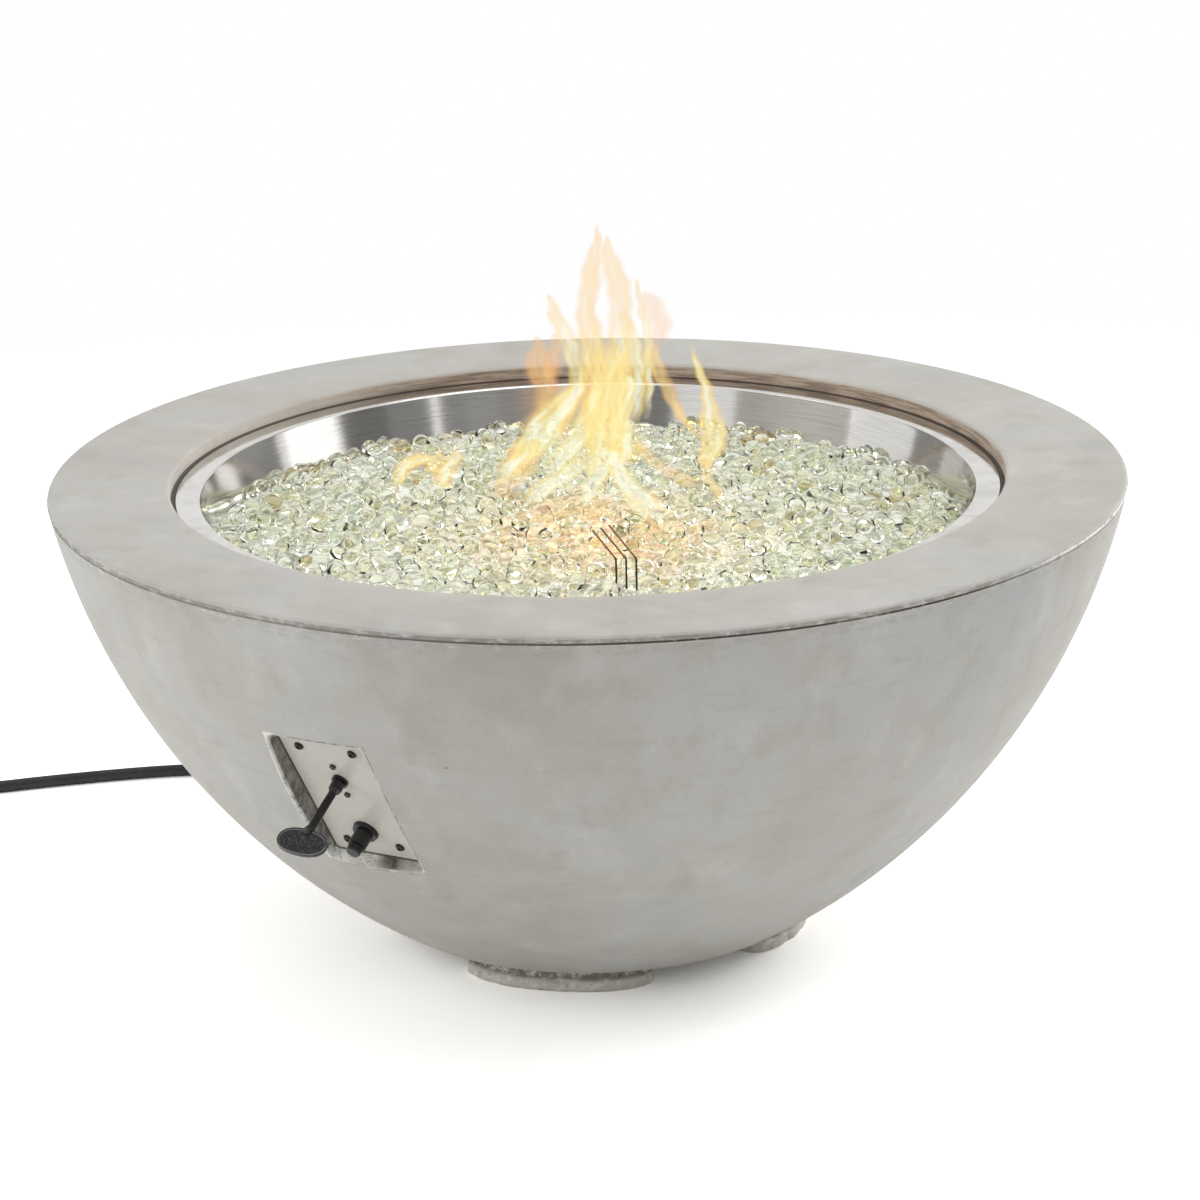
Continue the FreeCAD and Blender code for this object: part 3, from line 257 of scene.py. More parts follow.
class Finish:
    """A procedural material while it is being made."""

    def __init__(self, name):
        self.material = bpy.data.materials.new(name)
        self.material.use_nodes = True
        self.tree = self.material.node_tree
        self.tree.nodes.clear()

    def node(self, kind, settings=None, inputs=None, output=0):
        """Adds a node: its settings first, then the values or wires of its sockets."""
        node = self.tree.nodes.new("ShaderNode" + kind)
        for key, value in (settings or {}).items():
            if key == "stops":
                self.set_stops(node.color_ramp, value)
            else:
                setattr(node, key, value)
        for key, value in (inputs or {}).items():
            if isinstance(value, Wire):
                self.tree.links.new(value.socket, node.inputs[key])
            else:
                node.inputs[key].default_value = value
        return Wire(self, node.outputs[output]) if len(node.outputs) else None

    def set_stops(self, ramp, stops):
        while len(ramp.elements) < len(stops):
            ramp.elements.new(0.5)
        for element, (place, colour) in zip(ramp.elements, stops):
            element.position, element.color = place, colour

    def end(self, shader):
        self.node("OutputMaterial", None, {"Surface": shader})
        return self.material


print("shader signs ready")

# %% [markdown]
# Some short cuts come up in every finish: noise at a size given in metres, a
# soft step between two values, a blend of two colours, and a bump whose height
# is in metres. Colours are written as they look on a screen, from 0 to 255, and
# turned into the light values that a shader works with.

# %% Short cuts for shaders
def tone(red, green, blue):
    """A colour as it looks on screen, as the light that a shader needs."""
    shares = [c / 255 for c in (red, green, blue)]
    light = [s / 12.92 if s <= 0.04045 else ((s + 0.055) / 1.055) ** 2.4 for s in shares]
    return (*light, 1.0)


def place_in(finish, stretch=(1, 1, 1)):
    """Where a point of the surface is, in metres, stretched for streaks."""
    here = finish.node("TexCoord", output=3)
    if stretch == (1, 1, 1):
        return here
    return finish.node("VectorMath", {"operation": "MULTIPLY"}, {0: here, 1: stretch})


def cloud(finish, size, detail=3.0, stretch=(1, 1, 1), rough=0.5, warp=0.0):
    """Noise from 0 to 1 whose blobs are about this many metres across."""
    values = {
        "Vector": place_in(finish, stretch),
        "Scale": 1 / size,
        "Detail": detail,
        "Roughness": rough,
        "Distortion": warp,
    }
    return finish.node("TexNoise", {"noise_dimensions": "3D"}, values)


def step(finish, value, low, high, start=0.0, end=1.0):
    """Goes softly from start to end as the value goes from low to high."""
    values = {0: value, 1: low, 2: high, 3: start, 4: end}
    return finish.node("MapRange", {"interpolation_type": "SMOOTHSTEP"}, values)


def blend(finish, first, second, share, how="MIX"):
    """Mixes two colours."""
    settings = {"data_type": "RGBA", "blend_type": how}
    return finish.node("Mix", settings, {0: share, 6: first, 7: second}, output=2)


def bump(finish, height, strength=1.0):
    """Turns a height in metres into a surface that catches the light."""
    return finish.node("Bump", None, {"Height": height, "Strength": strength, "Distance": 1.0})


def surface(finish, **sockets):
    """The end of a finish: one Principled shader."""
    names = {key.replace("_", " "): value for key, value in sockets.items()}
    return finish.end(finish.node("BsdfPrincipled", None, names))


def attribute(finish, name):
    """A number that was painted on the mesh's points."""
    return finish.node("Attribute", {"attribute_name": name}, output=2)


print("short cuts ready")

# %% [markdown]
# ## Building meshes from rings
#
# Nearly every piece here is round or nearly so. Such a piece can be turned like
# a pot on a wheel: a list of rings, each joined to the next. Rings of any shape
# work the same way, so one function skins turned parts, oval heads and the
# sloping recess alike. The edges are rounded by giving the profile a few more
# points there, which looks better in close-ups than a sharp corner.

# %% Rings and skins
def add_piece(name, points, faces, smooth=40):
    """A mesh object from points and faces, smooth except at sharp edges."""
    data = bpy.data.meshes.new(name)
    data.from_pydata([tuple(p) for p in points], [], faces)
    data.validate()
    work = bmesh.new()
    work.from_mesh(data)
    bmesh.ops.recalc_face_normals(work, faces=work.faces)
    work.to_mesh(data)
    work.free()
    data.shade_smooth()
    data.set_sharp_from_angle(angle=math.radians(smooth))
    piece = bpy.data.objects.new(name, data)
    bpy.context.scene.collection.objects.link(piece)
    return piece


def skin_faces(rows, columns, first=0, closed=False, ends=(None, None)):
    """Faces that join rings of points; ends are the middle points of closed ends."""
    faces = []
    for row in range(rows if closed else rows - 1):
        low = first + row * columns
        high = first + (row + 1) % rows * columns
        for column in range(columns):
            after = (column + 1) % columns
            faces.append((low + column, low + after, high + after, high + column))
    for middle, row in zip(ends, (0, rows - 1)):
        if middle is not None:
            ring = first + row * columns
            faces += [(ring + c, ring + (c + 1) % columns, middle) for c in range(columns)]
    return faces


def skin(name, rings, frame_at=Matrix(), closed=False, smooth=40):
    """Skins a list of rings, and closes both ends unless the last joins the first."""
    rings = [np.asarray(ring, float) for ring in rings]
    rows, columns = len(rings), len(rings[0])
    points = np.concatenate(rings)
    ends = (None, None)
    if not closed:
        points = np.concatenate([points, [rings[0].mean(0)], [rings[-1].mean(0)]])
        ends = (rows * columns, rows * columns + 1)
    turned = np.asarray(frame_at.to_3x3(), float)
    points = points @ turned.T + np.asarray(frame_at.translation, float)
    return add_piece(name, points, skin_faces(rows, columns, closed=closed, ends=ends), smooth)


def ring(radius, height, count=48):
    """A level circle about the Z axis."""
    turn = np.arange(count) * 2 * math.pi / count
    return np.stack([radius * np.cos(turn), radius * np.sin(turn), np.full(count, height)], 1)


def rounded(corners, radii, steps=5):
    """A profile's corners, each replaced by a small arc of its own radius."""
    points = []
    corners = [np.asarray(c, float) for c in corners]
    for index, (corner, radius) in enumerate(zip(corners, radii)):
        before, after = corners[index - 1], corners[(index + 1) % len(corners)]
        if radius == 0:
            points.append(corner)
            continue
        back = (before - corner) / np.linalg.norm(before - corner)
        on = (after - corner) / np.linalg.norm(after - corner)
        half = math.acos(np.clip(back @ on, -1, 1)) / 2
        reach = min(
            radius / math.tan(half),
            0.49 * np.linalg.norm(before - corner),
            0.49 * np.linalg.norm(after - corner),
        )
        middle = (back + on) / np.linalg.norm(back + on)
        size = reach * math.tan(half)
        centre = corner + middle * size / math.sin(half)
        start = corner + back * reach - centre
        end = corner + on * reach - centre
        sweep = math.atan2(start[0] * end[1] - start[1] * end[0], start @ end)
        for share in np.linspace(0, 1, steps + 1):
            turn = sweep * share
            c, s = math.cos(turn), math.sin(turn)
            points.append(centre + np.array([c * start[0] - s * start[1], s * start[0] + c * start[1]]))
    return points


def turned(name, profile, frame_at=Matrix(), count=48, closed=False, smooth=40):
    """A piece turned from a profile of (radius, height) points."""
    return skin(name, [ring(r, z, count) for r, z in profile], frame_at, closed, smooth)


print("mesh tools ready")

# %% [markdown]
# ## The concrete
#
# Cast concrete looks grey and even, but up close it is many greys: cloudy
# patches where the mix dried at different speeds, faint level streaks from the
# mould, fine sand, and small pinholes left by air. The rim's inner edge has a
# tan stain, and the outer edge is worn where the mould was parted. Painted shade
# and painted highlights are added along the rim's outer edge, in the gap at the
# pan's lip, in the recess for the controls and on the feet. Everything is made
# from noise of the right size, so it looks the same from every side, except the
# painted shade in the rim's seam, which is darker towards the front right.

# %% Concrete finish
RIM_SEAM = 463.4 * MM
WELL_RADIUS = 413 * MM


def apart(finish, value):
    """The three numbers of a position."""
    return [finish.node("SeparateXYZ", None, {0: value}, output=k) for k in range(3)]


def length(finish, x, y, z=0.0):
    """How long the vector of three numbers is."""
    vector = finish.node("CombineXYZ", None, {0: x, 1: y, 2: z})
    return finish.node("VectorMath", {"operation": "LENGTH"}, {0: vector}, output=1)


def band(finish, value, low, high, soft):
    """1 between two values and 0 outside, with soft ends."""
    return step(finish, value, low - soft, low) * step(finish, value, high, high + soft, 1, 0)


def pinholes(finish, size, share):
    """Small round pits: 1 in the middle of a few cells, and 0 elsewhere."""
    values = {"Vector": place_in(finish), "Scale": 1 / size}
    cell = finish.node("TexVoronoi", {"feature": "F1"}, values)
    luck = finish.node("TexVoronoi", {"feature": "F1"}, values, output=1)
    chosen = apart(finish, luck)[0]
    return step(finish, cell, 0.018, 0.032, 1, 0) * step(finish, chosen, share, share + 0.02, 1, 0)


print("measuring nodes ready")

# %% [markdown]
# The masks need to know where the panel is, so its place is worked out here: a
# frame with X across the plate, Y up along it and Z out of it, at the middle of
# the plate's front. The bowl's outside is an arc, and how deep a point lies
# under that arc tells a cast face from the recess that was pressed into it.

# %% Where the panel is
PANEL_DEPTH, PANEL_SHEET = 17.4 * MM, 2 * MM
PLATE_WIDTH, PLATE_HEIGHT, PLATE_CORNER = 95 * MM, 162 * MM, 4 * MM
RECESS_GAP, RECESS_FLARE = 0.5 * MM, 0.488
panel = bowl_frame(-30.5, 30.5, PANEL_DEPTH) @ Matrix.Translation((-1.5 * MM, 2 * MM, 0))
panel = panel @ Matrix.Rotation(math.radians(2), 4, "Z")
seat = panel @ Matrix.Translation((0, 0, -PANEL_SHEET))


def seen_from(finish, frame_at):
    """A point's position in another frame, as three numbers."""
    away = finish.node(
        "VectorMath", {"operation": "SUBTRACT"}, {0: place_in(finish), 1: tuple(frame_at.translation)}
    )
    numbers = []
    for axis in frame_at.to_3x3().col:
        values = {0: away, 1: tuple(axis)}
        numbers.append(finish.node("VectorMath", {"operation": "DOT_PRODUCT"}, values, output=1))
    return numbers


def recess_masks(finish):
    """Masks of the recess: how deep, its left wall, its ledge, its mouth and its foot."""
    across, up, rise = seen_from(finish, seat)
    x, y, z = apart(finish, place_in(finish))
    depth = BOWL_ARC - length(finish, length(finish, x, y) + ARC_INSET, z - ARC_HEIGHT)
    near = band(finish, across, -66 * MM, 66 * MM, 1 * MM) * band(finish, up, -100 * MM, 100 * MM, 1 * MM)
    near = near * step(finish, rise, -1 * MM, 0)
    spread = rise * RECESS_FLARE + RECESS_GAP
    side = finish.node("Math", {"operation": "ABSOLUTE"}, {0: across}) - PLATE_WIDTH / 2 - spread
    end = finish.node("Math", {"operation": "ABSOLUTE"}, {0: up}) - PLATE_HEIGHT / 2 - spread
    beyond = finish.node("Math", {"operation": "MAXIMUM"}, {0: side, 1: end})
    inside = near * step(finish, depth, 0.5 * MM, 1.6 * MM)
    left = step(finish, across, -46 * MM, -47.5 * MM) * step(finish, end, 0.001, -0.002)
    ledge = step(finish, up, -79 * MM, -81.5 * MM)
    mouth = near * band(finish, beyond, -1.0 * MM, 1.6 * MM, 1.6 * MM)
    mouth = mouth * step(finish, depth, 3.4 * MM, 1.6 * MM)
    crest = near_point(finish, across + 50 * MM, up - 90 * MM, 16 * MM)
    crest = crest + near_point(finish, across + 46 * MM, up + 90 * MM, 26 * MM)
    crest = crest + near_point(finish, across - 56 * MM, up + 90 * MM, 18 * MM)
    # The foot of the recess walls beside the plate, which is given painted shade
    gap = inside * step(finish, rise, 3.4 * MM, 2.2 * MM)
    hairline = near * band(finish, beyond, 1.6 * MM, 2.6 * MM, 0.6 * MM)
    hairline = hairline * step(finish, depth, 1.8 * MM, 0.8 * MM) * step(finish, across, -44 * MM, -36 * MM)
    crest = crest * near * step(finish, beyond, 3.6 * MM, 1.4 * MM)
    return across, up, rise, inside, left, ledge, mouth, gap, hairline, crest


print("panel at", [round(c, 4) for c in panel.translation])

# %% Mix the concrete
def concrete():
    finish = Finish("cast_concrete")
    x, y, height = apart(finish, place_in(finish))
    reach = length(finish, x, y)
    patches = cloud(finish, 0.20, 4, rough=0.55, warp=0.5)
    drift = cloud(finish, 0.07, 5, stretch=(1, 1, 1.3), rough=0.62)
    blue = cloud(finish, 0.13, 4, stretch=(1.2, 1, 0.8), rough=0.6)
    streaks = cloud(finish, 0.06, 4, stretch=(1, 1, 7), rough=0.55)
    sand = cloud(finish, 0.0016, 2)
    flecks = cloud(finish, 0.006, 3, rough=0.7)
    grey = finish.node(
        "ValToRGB",
        {
            "stops": [
                (0.30, tone(181, 178, 170)),
                (0.45, tone(193, 190, 183)),
                (0.57, tone(198, 196, 190)),
                (0.72, tone(190, 191, 188)),
            ]
        },
        {"Fac": patches * 0.55 + drift * 0.45},
    )
    cold = blend(finish, grey, tone(178, 184, 190), step(finish, blue, 0.54, 0.72, 0, 0.30))
    dark = blend(finish, cold, tone(164, 160, 150), step(finish, streaks, 0.52, 0.78, 0, 0.22))
    beige = cloud(finish, 0.05, 5, stretch=(1, 1, 0.6), rough=0.6)
    dark = blend(finish, dark, tone(170, 165, 154), step(finish, beige, 0.50, 0.74, 0, 0.36))
    pale = cloud(finish, 0.07, 5, stretch=(1, 1, 0.5), rough=0.62)
    dark = blend(finish, dark, tone(218, 216, 210), step(finish, pale, 0.52, 0.72, 0, 0.36))
    dark = blend(finish, dark, tone(160, 157, 149), step(finish, flecks, 0.60, 0.74, 0, 0.28))
    light = blend(finish, dark, tone(216, 214, 208), step(finish, drift, 0.60, 0.76, 0, 0.38))
    speck = blend(finish, light, tone(128, 125, 118), step(finish, sand, 0.66, 0.74, 0, 0.4))
    pits = pinholes(finish, 0.045, 0.11) * step(finish, height, 0.462, 0.455)
    speck = blend(finish, speck, tone(100, 96, 90), pits * 0.8)

    # The well's wall is stained tan towards the back, with level streaks
    lines = cloud(finish, 0.05, 5, stretch=(1, 1, 14), rough=0.7)
    tan = blend(finish, tone(178, 163, 146), tone(122, 104, 88), step(finish, lines, 0.40, 0.62))
    in_well = step(finish, reach, 414.6 * MM, 413.2 * MM) * step(finish, height, 446 * MM, 452 * MM)
    behind = step(finish, y * 0.8 + x * 0.45, 0.06, 0.26, 0.10, 1.0)
    speck = blend(finish, speck, tan, in_well * behind * 0.85)
    # A dark line in the gap between the pan's lip and the well's wall: painted shade
    gap = band(finish, reach, 407.8 * MM, 413.4 * MM, 0.4 * MM) * band(finish, height, 0.450, 0.456, 0.001)
    speck = blend(finish, speck, tone(62, 55, 47), gap * 0.9)

    # The rim's edge has a seam below it, painted dark as shade in its groove, and scuffs
    # on both sides of the seam, partly darkened as painted shade, with a painted highlight
    # on the edge at the far right
    outside = step(finish, reach, 500 * MM, 520 * MM)
    scuff = cloud(finish, 0.014, 6, stretch=(1, 1, 2.6), rough=0.78)
    long_drift = cloud(finish, 0.16, 3)
    seam = outside * band(finish, height, RIM_SEAM - 0.7 * MM, RIM_SEAM + 0.5 * MM, 0.5 * MM)
    # Painted shade in the seam: darker towards the front right, fainter on the left, gone at the far right
    seam_shade = step(finish, x, -0.30, 0.10, 0.35, 1.0) * step(finish, x, 0.42, 0.32, 0.05, 1.0)
    seam_shade = seam_shade * step(finish, long_drift, 0.34, 0.52, 0.6, 1.0)
    speck = blend(finish, speck, tone(78, 73, 65), seam * seam_shade * 0.95)
    # Under the seam the side is darkened in blotches: partly scuffs, partly painted shade
    under = outside * band(finish, height, RIM_SEAM - 9 * MM, RIM_SEAM - 1 * MM, 6 * MM)
    speck = blend(finish, speck, tone(150, 146, 138), under * step(finish, scuff, 0.44, 0.66) * 0.35)
    # The lower rounding of the edge is darkened: partly wear, partly painted shade
    worn_and_shaded_rounding = outside * band(finish, height, RIM_SEAM + 0.8 * MM, 467.4 * MM, 0.8 * MM)
    speck = blend(finish, speck, tone(140, 135, 126), worn_and_shaded_rounding * step(finish, scuff, 0.40, 0.56) * 0.7)
    # A painted highlight on the edge at the far right, broken by the scuff noise
    far_right = step(finish, x, 0.34, 0.47)
    painted_edge_highlight = outside * band(finish, height, RIM_SEAM + 0.6 * MM, 467.2 * MM, 0.6 * MM) * far_right
    speck = blend(finish, speck, tone(250, 249, 246), painted_edge_highlight * step(finish, scuff, 0.68, 0.50) * 0.95)
    pale_edge_band = outside * band(finish, height, RIM_SEAM - 5 * MM, 468.5 * MM, 1 * MM)
    speck = blend(finish, speck, tone(222, 219, 212), pale_edge_band * step(finish, scuff, 0.46, 0.34) * 0.75)

    # The recess: a streaky left wall painted dark as painted shade, a chalky ledge with a stain,
    # pale edges that are partly a painted highlight, and painted shade where the walls meet the plate
    across, up, rise, inside, left, ledge, mouth, plate_gap_shade, hairline, crest = recess_masks(finish)
    smear = cloud(finish, 0.010, 6, rough=0.72)
    runs = cloud(finish, 0.006, 5, stretch=(1, 1, 0.3), rough=0.7)
    # The left wall of the recess is rougher, and painted dark as painted shade
    rough_and_shaded_wall = inside * left
    shade = blend(finish, tone(66, 62, 55), tone(142, 138, 128), step(finish, runs * 0.6 + smear * 0.4, 0.40, 0.60))
    speck = blend(finish, speck, shade, rough_and_shaded_wall * 0.92)
    on_ledge = inside * ledge
    speck = blend(finish, speck, tone(150, 146, 136), on_ledge * step(finish, smear, 0.40, 0.60, 0.8, 0.2))
    chalk_lines = cloud(finish, 0.0035, 5, stretch=(1, 1, 2), rough=0.78)
    chalk = step(finish, across, 40 * MM, -50 * MM, 0.2, 1.0) * on_ledge
    speck = blend(finish, speck, tone(244, 242, 236), chalk * step(finish, chalk_lines, 0.42, 0.54) * 0.95)
    # The mouth's rounded edges are paler: partly chalky wear, partly a painted highlight, whiter and broken down the
    # left edge
    speck = blend(finish, speck, tone(226, 224, 217), mouth * step(finish, smear, 0.36, 0.58, 0.75, 0.1))
    broken = mouth * step(finish, across, -40 * MM, -50 * MM) * step(finish, runs, 0.42, 0.54)
    speck = blend(finish, speck, tone(242, 241, 236), broken * 0.9)
    speck = blend(finish, speck, tone(240, 239, 234), crest * step(finish, smear, 0.44, 0.54) * 0.9)
    speck = blend(finish, speck, tone(128, 124, 114), crest * step(finish, smear, 0.46, 0.38) * 0.6)
    spot = near_point(finish, across - 14 * MM, rise - 5 * MM, 21 * MM)
    speck = blend(finish, speck, tone(58, 60, 34), on_ledge * spot * step(finish, smear, 0.3, 0.6, 1, 0.75))
    # Painted shade where the recess walls meet the plate
    speck = blend(finish, speck, tone(74, 70, 62), plate_gap_shade * 0.85)
    speck = blend(finish, speck, tone(126, 121, 112), hairline * step(finish, smear, 0.40, 0.60, 0.15, 0.8))

    # The feet are rougher, greener, and white with lime at their edges; they are painted paler
    # as painted light in the bowl's shade, and their neck is painted dark as painted shade
    foot = step(finish, height, 25 * MM, 20 * MM) * step(finish, reach, 0.14, 0.15)
    lime = cloud(finish, 0.009, 6, rough=0.78)
    # The feet are painted paler than the bowl, as painted light where they stand in its shade
    speck = blend(finish, speck, tone(226, 222, 210), foot * 0.8)
    # The neck above the lip is painted dark as painted shade, broken by the lime
    neck = band(finish, height, 12.5 * MM, 21 * MM, 1 * MM) * foot
    speck = blend(finish, speck, tone(128, 122, 108), neck * step(finish, lime, 0.35, 0.65, 0.9, 0.3))
    speck = blend(finish, speck, tone(120, 114, 98), foot * step(finish, smear, 0.56, 0.68) * 0.7)
    speck = blend(finish, speck, tone(244, 243, 238), foot * step(finish, lime, 0.50, 0.60) * 0.9)
    low = step(finish, height, 40 * MM, 22 * MM) * step(finish, lime, 0.53, 0.64)
    speck = blend(finish, speck, tone(232, 230, 224), low * (1 - foot) * 0.7)

    rough = 0.60 + 0.2 * drift - 0.16 * step(finish, height, 0.4695, 0.4699)
    relief = sand * 0.00010 + flecks * 0.00014 + drift * 0.0004 - pits * 0.0010
    relief = relief + smear * (rough_and_shaded_wall + foot + on_ledge) * 0.0030 + lime * foot * 0.003
    relief = relief - worn_and_shaded_rounding * scuff * 0.0008
    return surface(
        finish,
        Base_Color=speck,
        Roughness=rough,
        Specular_IOR_Level=0.4,
        Normal=bump(finish, relief, 0.8),
    )


def near_point(finish, x, y, size):
    """1 at a point and 0 beyond this distance from it."""
    return step(finish, length(finish, x, y), size, size * 0.15)


concrete_finish = concrete()
print("concrete:", len(concrete_finish.node_tree.nodes), "nodes")

# %% [markdown]
# ## The bowl
#
# The bowl is turned from a profile whose outside is one long arc. In the CAD
# model its edges are plain chamfers. Here they are rounded, and a fine seam
# runs under the rim's edge, where the two halves of the mould met. The profile
# is a closed loop, so the ring of its last point joins the first again.

# %% Bowl profile
RIM_EDGE, WELL_EDGE = 5 * MM, 5 * MM
BASE, PORT_RADIUS = 22 * MM, 50 * MM
CAVITY_FLOOR = 50 * MM
LEDGE_HEIGHT, LEDGE_RADIUS, LEDGE_UNDER = 454.5 * MM, 390 * MM, 428.5 * MM
WALL = 20 * MM


def arc_radius(height, arc=BOWL_ARC):
    """How far the bowl's arc is from the axis at this height."""
    return math.sqrt(arc**2 - (ARC_HEIGHT - height) ** 2) - ARC_INSET


def bowl_profile():
    rim = arc_radius(RIM_HEIGHT)
    outside = [(arc_radius(z), z) for z in np.linspace(BASE, RIM_SEAM - 1.0 * MM, 72)]
    groove = arc_radius(RIM_SEAM) - 1.5 * MM
    seam = [
        (groove, RIM_SEAM - 0.5 * MM),
        (groove, RIM_SEAM + 0.3 * MM),
        (groove + 1.2 * MM, RIM_SEAM + 1.0 * MM),
    ]
    turn = np.radians(np.linspace(10, 90, 9))
    edge = [
        (rim - 0.75 * MM - RIM_EDGE * (1 - math.cos(t)), RIM_HEIGHT - RIM_EDGE * (1 - math.sin(t)))
        for t in turn
    ]
    top = [(r * MM, RIM_HEIGHT) for r in np.linspace(515, 430, 7)]
    well = rounded(
        [
            (430 * MM, RIM_HEIGHT),
            (WELL_RADIUS, RIM_HEIGHT),
            (WELL_RADIUS, LEDGE_HEIGHT),
            (LEDGE_RADIUS, LEDGE_HEIGHT),
            (LEDGE_RADIUS, LEDGE_UNDER),
        ],
        [0, WELL_EDGE, 1 * MM, 1 * MM, 0],
    )[1:]
    inside = [(arc_radius(z, BOWL_ARC - WALL), z) for z in np.linspace(400 * MM, CAVITY_FLOOR, 16)]
    return outside + seam + edge + top + well + inside + [
        (PORT_RADIUS, CAVITY_FLOOR),
        (PORT_RADIUS, BASE + 3 * MM),
        (PORT_RADIUS + 3 * MM, BASE),
        (110 * MM, BASE),
        (170 * MM, BASE),
    ]


SEGMENTS = 320
bowl = turned("bowl", bowl_profile(), count=SEGMENTS, closed=True, smooth=32)
print("bowl shell:", len(bowl.data.polygons), "faces")

# %% [markdown]
# ## The recess for the controls
#
# The panel sits in a sloping recess that was cast into the bowl's side. The
# plain way is to cut a tapered block out of the shell with a Boolean. Its mouth
# would be razor sharp, so the cutter flares outward where it meets the bowl's
# outside. For that, each wall line of the cutter is followed out to the bowl's
# surface, and the last few millimetres curve away from the opening.

# %% The recess's cutter
MOUTH_ROUND = 1.5 * MM


def rounded_outline(width, height, corner, spacing):
    """A rounded rectangle as evenly spaced points, with its outward directions."""
    points, outward = [], []
    for index, (sx, sy) in enumerate(((1, 1), (-1, 1), (-1, -1), (1, -1))):
        centre = np.array([sx * (width / 2 - corner), sy * (height / 2 - corner)])
        for turn in np.linspace(index * 90, index * 90 + 90, 6):
            way = np.array([math.cos(math.radians(turn)), math.sin(math.radians(turn))])
            points.append(centre + corner * way)
            outward.append(way)
        length = (height if index % 2 else width) - 2 * corner
        along = np.array([-sy * (index % 2 == 0) * 1.0, -sx * (index % 2) * 1.0])
        along = np.array([-1.0, 0]) if index == 0 else along
        along = [np.array(a, float) for a in ((-1, 0), (0, -1), (1, 0), (0, 1))][index]
        for share in np.arange(1, int(length / spacing)) / int(length / spacing):
            points.append(centre + corner * way + along * length * share)
            outward.append(way)
    return np.array(points), np.array(outward)


def outside_of_bowl(point):
    """Above 0 outside the bowl's surface, in metres, and below 0 in the concrete."""
    reach = math.hypot(point.x, point.y) + ARC_INSET
    return math.hypot(reach, ARC_HEIGHT - point.z) - BOWL_ARC


def wall_point(base, way, rise):
    """A point on the recess's sloping wall, this high above its floor."""
    spread = base + way * (RECESS_GAP + RECESS_FLARE * rise)
    return seat @ Vector((spread[0], spread[1], rise))


def rise_to_surface(base, way):
    low, high = 0.0, 50 * MM
    for _ in range(30):
        middle = (low + high) / 2
        if outside_of_bowl(wall_point(base, way, middle)) > 0:
            high = middle
        else:
            low = middle
    return (low + high) / 2


def recess_cutter():
    base, ways = rounded_outline(PLATE_WIDTH, PLATE_HEIGHT, PLATE_CORNER, 3 * MM)
    rises = [rise_to_surface(b, w) for b, w in zip(base, ways)]
    rings = []
    for share in (0.0, 0.12, 0.25, 0.4, 0.55, 0.7, 0.85, 1.0):
        row = []
        for b, w, top in zip(base, ways, rises):
            row.append(wall_point(b, w, (top - MOUTH_ROUND) * share))
        rings.append(row)
    for turn in (20, 40, 60, 76):
        away = MOUTH_ROUND * (1 - math.cos(math.radians(turn)))
        up = MOUTH_ROUND * math.sin(math.radians(turn))
        row = [
            wall_point(b + w * away, w, top - MOUTH_ROUND + up)
            for b, w, top in zip(base, ways, rises)
        ]
        rings.append(row)
    rings.append(
        [wall_point(b + w * 14 * MM, w, top + 6 * MM) for b, w, top in zip(base, ways, rises)]
    )
    return skin("recess_cutter", rings)


def block(name, width, height, low, high, frame_at, corner=4 * MM):
    """A rounded block, for cutting or adding."""
    outline, _ = rounded_outline(width, height, corner, 20 * MM)
    rings = [[(x, y, z) for x, y in outline] for z in (low, high)]
    return skin(name, rings, frame_at)


def combine(piece, other, how):
    """Cuts another mesh out of a piece, or joins it on, and removes the other."""
    modifier = piece.modifiers.new(how, "BOOLEAN")
    modifier.operation, modifier.object = how, other
    modifier.solver = "EXACT"
    bpy.context.view_layer.update()
    graph = bpy.context.evaluated_depsgraph_get()
    result = bpy.data.meshes.new_from_object(piece.evaluated_get(graph))
    piece.modifiers.clear()
    old = piece.data
    piece.data = result
    bpy.data.meshes.remove(old)
    bpy.data.objects.remove(other)


boss = block("boss", 150 * MM, 214 * MM, -19 * MM, -0.5 * MM, seat)
combine(bowl, boss, "UNION")
combine(bowl, recess_cutter(), "DIFFERENCE")
hatch = block("hatch", 42 * MM, 114 * MM, -40 * MM, 1 * MM, seat @ Matrix.Translation((0, -6 * MM, 0)))
combine(bowl, hatch, "DIFFERENCE")
hose_hole = turned("hose_hole", [(11 * MM, -40 * MM), (11 * MM, 6 * MM)], hose_exit)
combine(bowl, hose_hole, "DIFFERENCE")
print("bowl with its recess:", len(bowl.data.polygons), "faces")

# %% [markdown]
# ## The feet
#
# Four curved feet are cast in one with the bowl. Each is a lip on the ground
# with a narrower neck above it, and its ends are round. Concrete comes out of
# such a small mould with broken edges, so the rings of each foot are pushed in
# and out by noise, more at the edges than on the faces.

# %% Feet
FOOT_OUTER, FOOT_INNER, FOOT_END = 219 * MM, 164 * MM, 32 * MM
FOOT_SPAN, FOOT_AZIMUTH = math.radians(26.2), -12
FOOT_TAPER = 11 * MM


